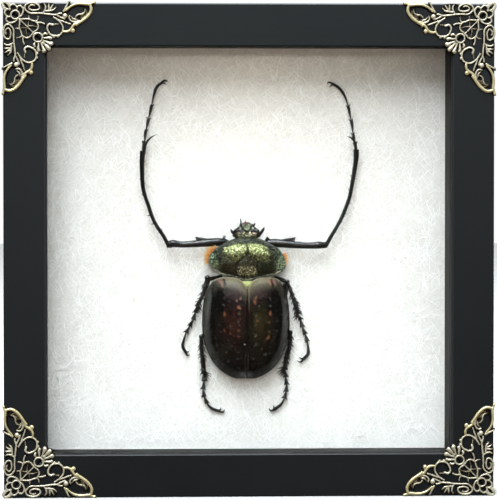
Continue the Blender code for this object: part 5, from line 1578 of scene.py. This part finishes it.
# Strokes of one half of an ornament: millimetres along and away from the frame's edges, and radius
ornamentStrokes = {
    "petals": [[(1.1, 3.4, .4), (-0.1, 1.6, .45), (-0.2, 0.5, .4), (0.5, 0.1, .4), (1.6, 0.5, .45),
        (2.6, 1.5, .42), (2.9, 3.4, .38)],
        [(2.8, 3.2, .35), (3.1, 1.5, .4), (4.1, 0.8, .42), (4.9, 1.1, .42), (5.8, 2.2, .4),
        (5.8, 3.2, .35)],
        [(5.8, 3.2, .35), (6, 1.9, .4), (7, 1.4, .42), (7.8, 1.9, .42), (8.3, 2.9, .42), (8, 4.5, .42),
        (7.5, 5.4, .42), (6.8, 5.9, .4)]],
    "spiral": [[(16.7, 4.5, .42), (13.6, 4.4, .42), (10.8, 4.3, .42), (9.7, 3.5, .42), (8.9, 2.1, .42),
        (9.5, 0.9, .42), (11, 0.3, .42), (12.5, 0.2, .42), (14, 0.8, .42), (14.8, 1.7, .42),
        (14.7, 2.7, .42), (13.8, 3.1, .4), (11.3, 3, .4), (10.5, 2.2, .38), (11, 1.4, .38),
        (12.1, 1.1, .36), (13.1, 1.5, .36)],
        [(16.6, 0.4, .3), (17.3, 1.7, .42), (17, 3.2, .42), (16.3, 4.2, .36)]],
    "grass": [[(18.6, 0.5, .3), (18.6, 1.8, .42), (18.6, 3.1, .4)],
        [(20.5, 0.8, .3), (19.8, 1.8, .4), (19.3, 2.8, .4)],
        [(21.6, 1.9, .3), (20.3, 3.1, .42), (18.9, 3.4, .42), (17.6, 3.5, .42), (16.7, 3.4, .4)]],
    "stem": [[(16.7, 4.6, .42), (19.6, 4.9, .45), (21.5, 5, .42), (22.9, 4.5, .4), (24, 4.5, .42)],
        [(21.5, 5.1, .38), (22.9, 5.8, .4), (24.2, 6.4, .4), (25.3, 6.7, .38)],
        [(24.5, 3.9, .5), (25.6, 1.8, .42), (26.5, 0.1, .35), (26.9, -0.3, .18)]],
    "loop": [[(25.3, 3.5, .45), (26.7, 2.2, .5), (28.2, 1.2, .55), (29.6, 0.7, .58), (31.7, 0.5, .6),
        (33.9, 0.7, .62), (35.2, 0.7, .6)], [(35, 0.6, .55), (36.2, 0.2, .5), (37, 0, .62)],
        [(35.2, 0.7, .6), (35.7, 2.5, .68), (35.5, 3.7, .7), (34.6, 5.2, .7), (33.3, 6.5, .7),
        (31.9, 7.5, .7), (30.5, 8.4, .68), (29.3, 9.4, .6)],
        [(30.5, 8.7, .6), (28.9, 8.9, .6), (28, 10.1, .62), (27.2, 11.2, .6), (25.9, 11.8, .6),
        (24.6, 11.8, .5)]],
    "blade": [[(27.2, 5.1, .35), (26.8, 6.2, .4), (27.6, 7.4, .42), (29, 7.9, .42), (31, 7.4, .38)],
        [(27.6, 5.6, .25), (28.6, 6.7, .4), (30.2, 7, .3)]],
    "hook": [[(20.2, 9.2, .5), (18.9, 8.8, .52), (18, 9.8, .46), (18.3, 11.5, .44), (19.5, 13.1, .44),
        (21, 13.5, .44), (22.9, 13.2, .44), (23.9, 12.2, .44), (24.3, 11.1, .42), (24.2, 9.7, .42),
        (23.3, 8.2, .42), (22.2, 7.1, .42), (20.3, 5.9, .4)], [(21, 8.8, .3), (22.2, 8.8, .3)],
        [(22.5, 7.1, .38), (23.9, 7.5, .4), (25.6, 8.2, .4), (27.6, 8.8, .36)]],
    "leaf": [[(6.7, 6.8, .38), (8.4, 6.8, .4), (10.5, 6.8, .4), (12, 7.4, .4), (13.3, 7.8, .4),
        (14, 8.7, .4), (14.4, 9.8, .4), (14, 10.9, .4), (13, 11.7, .4), (12.3, 12.3, .38)],
        [(10.5, 5.1, .3), (10.7, 6.8, .36)], [(13.3, 7.8, .36), (14, 7.2, .36), (14.4, 5.5, .3)],
        [(10.4, 7.5, .22), (10.3, 9.5, .3)], [(10.4, 9.5, .3), (12, 9.5, .26), (14, 10.1, .2)],
        [(13.8, 8.2, .36), (15.6, 8.2, .4), (17.1, 8.8, .4)]],
    "fan": [[(16.1, 13.2, .3), (17.1, 12.6, .55), (18.1, 13.1, .4)],
        [(16.4, 14.4, .35), (17.6, 14.4, .5), (18.8, 14.3, .6), (19.7, 14.7, .62)],
        [(16.3, 15.4, .35), (18, 16.1, .5), (19.3, 16.7, .75), (19.8, 16.9, .8)],
        [(15.8, 16.2, .35), (17.3, 17.2, .5), (18.4, 18.3, .75), (18.9, 19, .75)]],
}
ornament = {
    "corner": (-0.1, 0.201), "barAt": -0.01605, "leafAt": -0.01595, "plateFront": -0.01576,
    "back": -0.0153, "voxel": 0.18 * mm, "smoothing": (0.5, 2), "raised": 0.5 * mm, "budFlat": 0.6,
    # on the diagonal: the midrib, and rings with their radius and thickness
    "midrib": [(6.4, 6.4, .34), (8.1, 8.1, .36), (10.1, 10.1, .36), (12.4, 12.4, .36)],
    "rings": [(5.05, 5.05, 1.7, .42), (14.2, 14.2, 1.8, .42)],
    # round buds of one half, and the golden one
    "buds": [(25.2, 5.4, 1.05), (28.3, 11.4, 1.0), (20.6, 13.9, .68), (22.3, 13.8, .68),
             (20.3, 9.1, .62), (19.7, 16.6, .9), (18.7, 18.7, .9), (19.4, 14.6, .68),
             (17.7, 12.8, .58), (12.4, 0.7, .3), (22.3, 8.8, .4), (37.0, 0.0, .62)],
    "goldenBud": (28.3, 11.4, 1.0),
    # a low leaf inside the loop
    "leaf": [[(33.3, 2.6, .3), (33.0, 3.9, .42), (31.9, 4.7, .46), (30.5, 4.9, .44),
              (29.5, 5.8, .42), (29.3, 6.4, .3)],
             [(33.9, 3.2, .24), (33.8, 4.9, .3), (32.7, 6.0, .3), (31.2, 6.5, .26)],
             [(33.0, 3.9, .3), (32.6, 5.1, .3), (31.4, 5.8, .26)]],
}


def bothHalves(strokes):
    # Each stroke and its mirror image over the diagonal
    return [half for points in strokes
            for half in (points, [(away, along, radius) for along, away, radius in points])]


def cornerPlace(along, away, depth):
    return ornament["corner"][0] + along * mm, depth, ornament["corner"][1] - away * mm


def goldenShare(places):
    # One on the golden bud and on the loop, nought elsewhere
    along = (places[:, 0] - ornament["corner"][0]) / mm
    away = (ornament["corner"][1] - places[:, 2]) / mm
    golden = np.zeros(len(places))
    x, z, radius = ornament["goldenBud"]
    for near in (np.hypot(along - x, away - z), np.hypot(along - z, away - x)):
        golden = np.maximum(golden, fall(near, radius + 0.3, 0.3))
    for points in bothHalves(ornamentStrokes["loop"]):
        near = distanceToLine(along, away, [point[:2] for point in points])
        golden = np.maximum(golden, fall(near, 1.0, 0.5))
    return golden


def makeOrnament():
    o = ornament
    rings = [[(along + radius * math.cos(turn), away + radius * math.sin(turn), thickness)
              for turn in np.arange(14) * math.pi / 6] for along, away, radius, thickness in o["rings"]]
    bars = [stroke for group in ornamentStrokes.values() for stroke in bothHalves(group)]
    paths = [[(*cornerPlace(along, away, depth), radius * mm) for along, away, radius in points]
             for strokes, depth in ((bars + [o["midrib"]] + rings, o["barAt"]),
                                    (bothHalves(o["leaf"]), o["leafAt"])) for points in strokes]
    lines = drawStrokes(paths, 3, 6)
    buds = [addBall(20, 12, radius * mm, cornerPlace(along, away, o["barAt"]), (1.0, o["budFlat"], 1.0))
            for along, away, radius in sorted(set(sum(bothHalves([o["buds"]]), [])))]
    plate = addPiece("plate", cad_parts["corner_ornament_top_left"].data.copy())
    faceOutwards(plate, 1e-6)
    places = getPlaces(plate)
    places[places[:, 1] < places[:, 1].mean(), 1] = o["plateFront"]
    setPlaces(plate, places)
    whole = joinPieces([lines, plate] + buds, "ornament")
    settle(whole)
    places = getPlaces(whole)
    places[:, 1] = np.minimum(places[:, 1], o["back"])
    setPlaces(whole, places)
    mesher = whole.modifiers.new("mesher", "REMESH")
    mesher.mode = "VOXEL"
    mesher.voxel_size = o["voxel"]
    smoother = whole.modifiers.new("smoother", "SMOOTH")
    smoother.factor, smoother.iterations = o["smoothing"]
    applyModifiers(whole)
    storeValue(whole, goldenShare(getPlaces(whole)), "golden")
    return whole


def finishOrnament(piece, corner):
    finishPiece(piece, "corner_filigree_" + corner, "brass",
                ["corner_ornament_" + corner])


def placeOrnament(master, corner):
    # Each corner has its own mesh, turned over the frame's middle
    piece = addPiece(corner, master.data.copy())
    places = getPlaces(piece)
    if "right" in corner:
        places[:, 0] *= -1
    if "bottom" in corner:
        places[:, 2] = np.maximum(2 * middleHeight + ornament["raised"] - places[:, 2], 0.0)
    setPlaces(piece, places)
    faceOutwards(piece)
    finishOrnament(piece, corner)


master = makeOrnament()
for corner in ("top_right", "bottom_left", "bottom_right"):
    placeOrnament(master, corner)
finishOrnament(master, "top_left")
print("corner ornaments made:", len(master.data.polygons), "faces each")


# Strands in the paper

strandLook = {"count": 5800, "steps": 7, "length": (2.5, 8.5), "width": (0.14, 0.26),
              "halfSpan": 81.0, "lift": (0.08, 0.36), "ridge": 0.05, "turnSpread": 0.26,
              "curlSpread": 0.17, "blunt": 0.12,
              # the ways they run, and the share of each
              "turns": [0.8, -0.95, 0.1, 1.5], "shares": [0.32, 0.38, 0.12, 0.18]}


def makeStrands():
    s = strandLook
    draw = np.random.default_rng(21)
    count, steps, span = s["count"], s["steps"], s["halfSpan"]
    middle = draw.uniform(-span, span, (count, 2))
    turn = draw.choice(s["turns"], count, p=s["shares"])
    turn = (turn + draw.normal(0, s["turnSpread"], count))[:, None]
    length = draw.uniform(*s["length"], count)[:, None]
    curl = draw.normal(0, s["curlSpread"], count)[:, None]
    width = draw.uniform(*s["width"], count)[:, None]
    angle = turn + curl * np.linspace(-0.5, 0.5, steps) * 2
    x, z = (np.clip(start + np.cumsum(way(angle) * (length / (steps - 1)), axis=1)
                    - length / 2 * way(turn), -span, span)
            for start, way in ((middle[:, :1], np.cos), (middle[:, 1:], np.sin)))
    low, high = s["lift"]
    lift = low + (high - low) * np.sin(np.linspace(0, math.pi, steps))
    half = width * np.sin(np.linspace(s["blunt"], math.pi - s["blunt"], steps)) ** 0.5 / 2
    sideX, sideZ = -np.sin(angle) * half, np.cos(angle) * half
    rows = [fromPaper(x + sideX * shift, z + sideZ * shift, np.broadcast_to(lift, x.shape) - drop)
            for shift, drop in ((-1, s["ridge"]), (0, 0.0), (1, s["ridge"]))]
    mesh = bpy.data.meshes.new("strands")
    mesh.from_pydata(np.stack(rows, axis=2).reshape(-1, 3).tolist(), [],
                     stripFaces(count, steps, 3, False).tolist())
    normals = np.empty(len(mesh.polygons) * 3, np.float32)
    mesh.polygons.foreach_get("normal", normals)
    if normals.reshape(-1, 3)[:, 1].mean() > 0:
        mesh.flip_normals()
    finishPiece(addPiece("strands", mesh), "paper_strands", "strands")


makeStrands()
print("paper strands made")


# Floor, lights and camera

lighting = {
    "keyAt": (-0.21, -0.86, 2.6), "keySize": (1.6, 4.76), "keyPower": 160.0,
    "keyColour": (0.96, 1.0, 1.06), "backAt": (-0.6, 0.9, 0.9), "backSize": (0.8, 0.8),
    "backPower": 5.0, "backColour": (1, 1, 1), "worldColour": (1.0, 0.98, 0.88, 1.0),
    "worldStrength": 0.45,
    # what shines in glossy surfaces: below the horizon, at it, far up, and added overhead
    "shineLow": 0.01, "shineMiddle": 0.42, "shineHigh": 0.8, "shineColour": (0.87, 1.0, 1.06, 1.0),
    "shineSides": 0.35, "shineTop": 1.5, "shineBehind": 0.8,
    # soft beams from the front lift the paper's upper middle and its lower part:
    # where each one aims, its power, how wide it opens in degrees, and its colour
    "beamAt": (-0.1, -1.3, 0.34), "beamRadius": 0.05,
    "beams": [((0.0, 0.0, 0.159), 15.5, 6.2, (1.0, 0.89, 0.76)),
              ((0.01, 0.0, 0.07), 11.0, 9.2, (1.0, 1.0, 1.0))],
    "frameMiddle": (0.0, -0.015, 0.1005),
}
floorLook = {"size": 8.0, "seen": (0.8, 0.8, 0.8, 1.0), "cast": (0.22, 0.15, 0.095, 1.0)}
cameraLook = {"at": (-0.0618, -1.221, 0.1344), "target": (-0.0005, -0.015, 0.1007),
              "lens": 213.75, "sensor": 36.0, "clip": (0.05, 50.0)}


def makeFloor():
    bpy.ops.mesh.primitive_plane_add(size=floorLook["size"], location=(0, 0, 0))
    floor = bpy.context.object
    floor.name = "floor"
    floor.visible_glossy = False
    material, tree, shader = newMaterial("pale floor")
    seen = addNode(tree, "LightPath").outputs["Is Camera Ray"]
    feed(tree, shader, color=mixColours(tree, seen, floorLook["cast"], floorLook["seen"]),
         rough=0.6, specular=0.2)
    floor.data.materials.append(material)


def aim(thing, target):
    way = Vector(target) - thing.location
    thing.rotation_euler = way.to_track_quat("-Z", "Y").to_euler()


def addLight(kind, name, place, target, power, colour, **settings):
    bpy.ops.object.light_add(type=kind, location=place)
    light = bpy.context.object
    light.name = name
    light.data.energy = power
    light.data.color = colour
    for setting, value in settings.items():
        setattr(light.data, setting, value)
    aim(light, target)
    return light


def addLights():
    look = lighting
    for name in ("key", "back"):
        size, length = look[name + "Size"]
        addLight("AREA", name, look[name + "At"], look["frameMiddle"], look[name + "Power"],
                 look[name + "Colour"], shape="RECTANGLE", size=size, size_y=length)
    for target, power, angle, colour in look["beams"]:
        beam = addLight("SPOT", "beam", look["beamAt"], target, power, colour, spot_blend=1.0,
                        spot_size=math.radians(angle), shadow_soft_size=look["beamRadius"])
        beam.visible_glossy = False


def makeWorld():
    # White for the camera, soft and warm for the light, a dim room under a bright sky in the gloss
    world = bpy.data.worlds.new("studio")
    scene.world = world
    world.use_nodes = True
    tree = world.node_tree
    look = lighting
    soft = tree.nodes["Background"]
    soft.inputs["Color"].default_value = look["worldColour"]
    soft.inputs["Strength"].default_value = look["worldStrength"]
    seen = addNode(tree, "Background", {"Color": (1.0, 1.0, 1.0, 1.0), "Strength": 1.0})
    way = partsOf(tree, addNode(tree, "TexCoord").outputs["Generated"])
    near = rangeOf(tree, way["Z"], -0.1, 0.035, look["shineLow"], look["shineMiddle"])
    far = rangeOf(tree, way["Z"], 0.03, 0.7, 0.0, look["shineHigh"] - look["shineMiddle"])
    top = rangeOf(tree, way["Z"], 0.55, 0.9, 0.0, look["shineTop"])
    sides = rangeOf(tree, mathOf(tree, "ABSOLUTE", way["X"]), 0.25, 0.7, 1.0, look["shineSides"])
    behind = rangeOf(tree, way["Y"], 0.1, 0.4, 0.0, look["shineBehind"])
    strength = plus(tree, times(tree, plus(tree, plus(tree, near, far), top), sides), behind)
    shine = addNode(tree, "Background", {"Color": look["shineColour"], "Strength": strength})
    rays = addNode(tree, "LightPath")
    mixed = soft
    for ray, light in (("Is Glossy Ray", shine), ("Is Camera Ray", seen)):
        mixed = addNode(tree, "MixShader", {0: rays.outputs[ray], 1: mixed.outputs[0],
                                            2: light.outputs[0]})
    plug(tree, tree.nodes["World Output"].inputs["Surface"], mixed.outputs[0])


def addCamera():
    bpy.ops.object.camera_add(location=cameraLook["at"])
    camera = bpy.context.object
    camera.data.lens = cameraLook["lens"]
    camera.data.sensor_width = cameraLook["sensor"]
    camera.data.clip_start, camera.data.clip_end = cameraLook["clip"]
    aim(camera, cameraLook["target"])
    scene.camera = camera


makeFloor()
makeWorld()
addLights()
addCamera()
print("floor, lights and camera set")
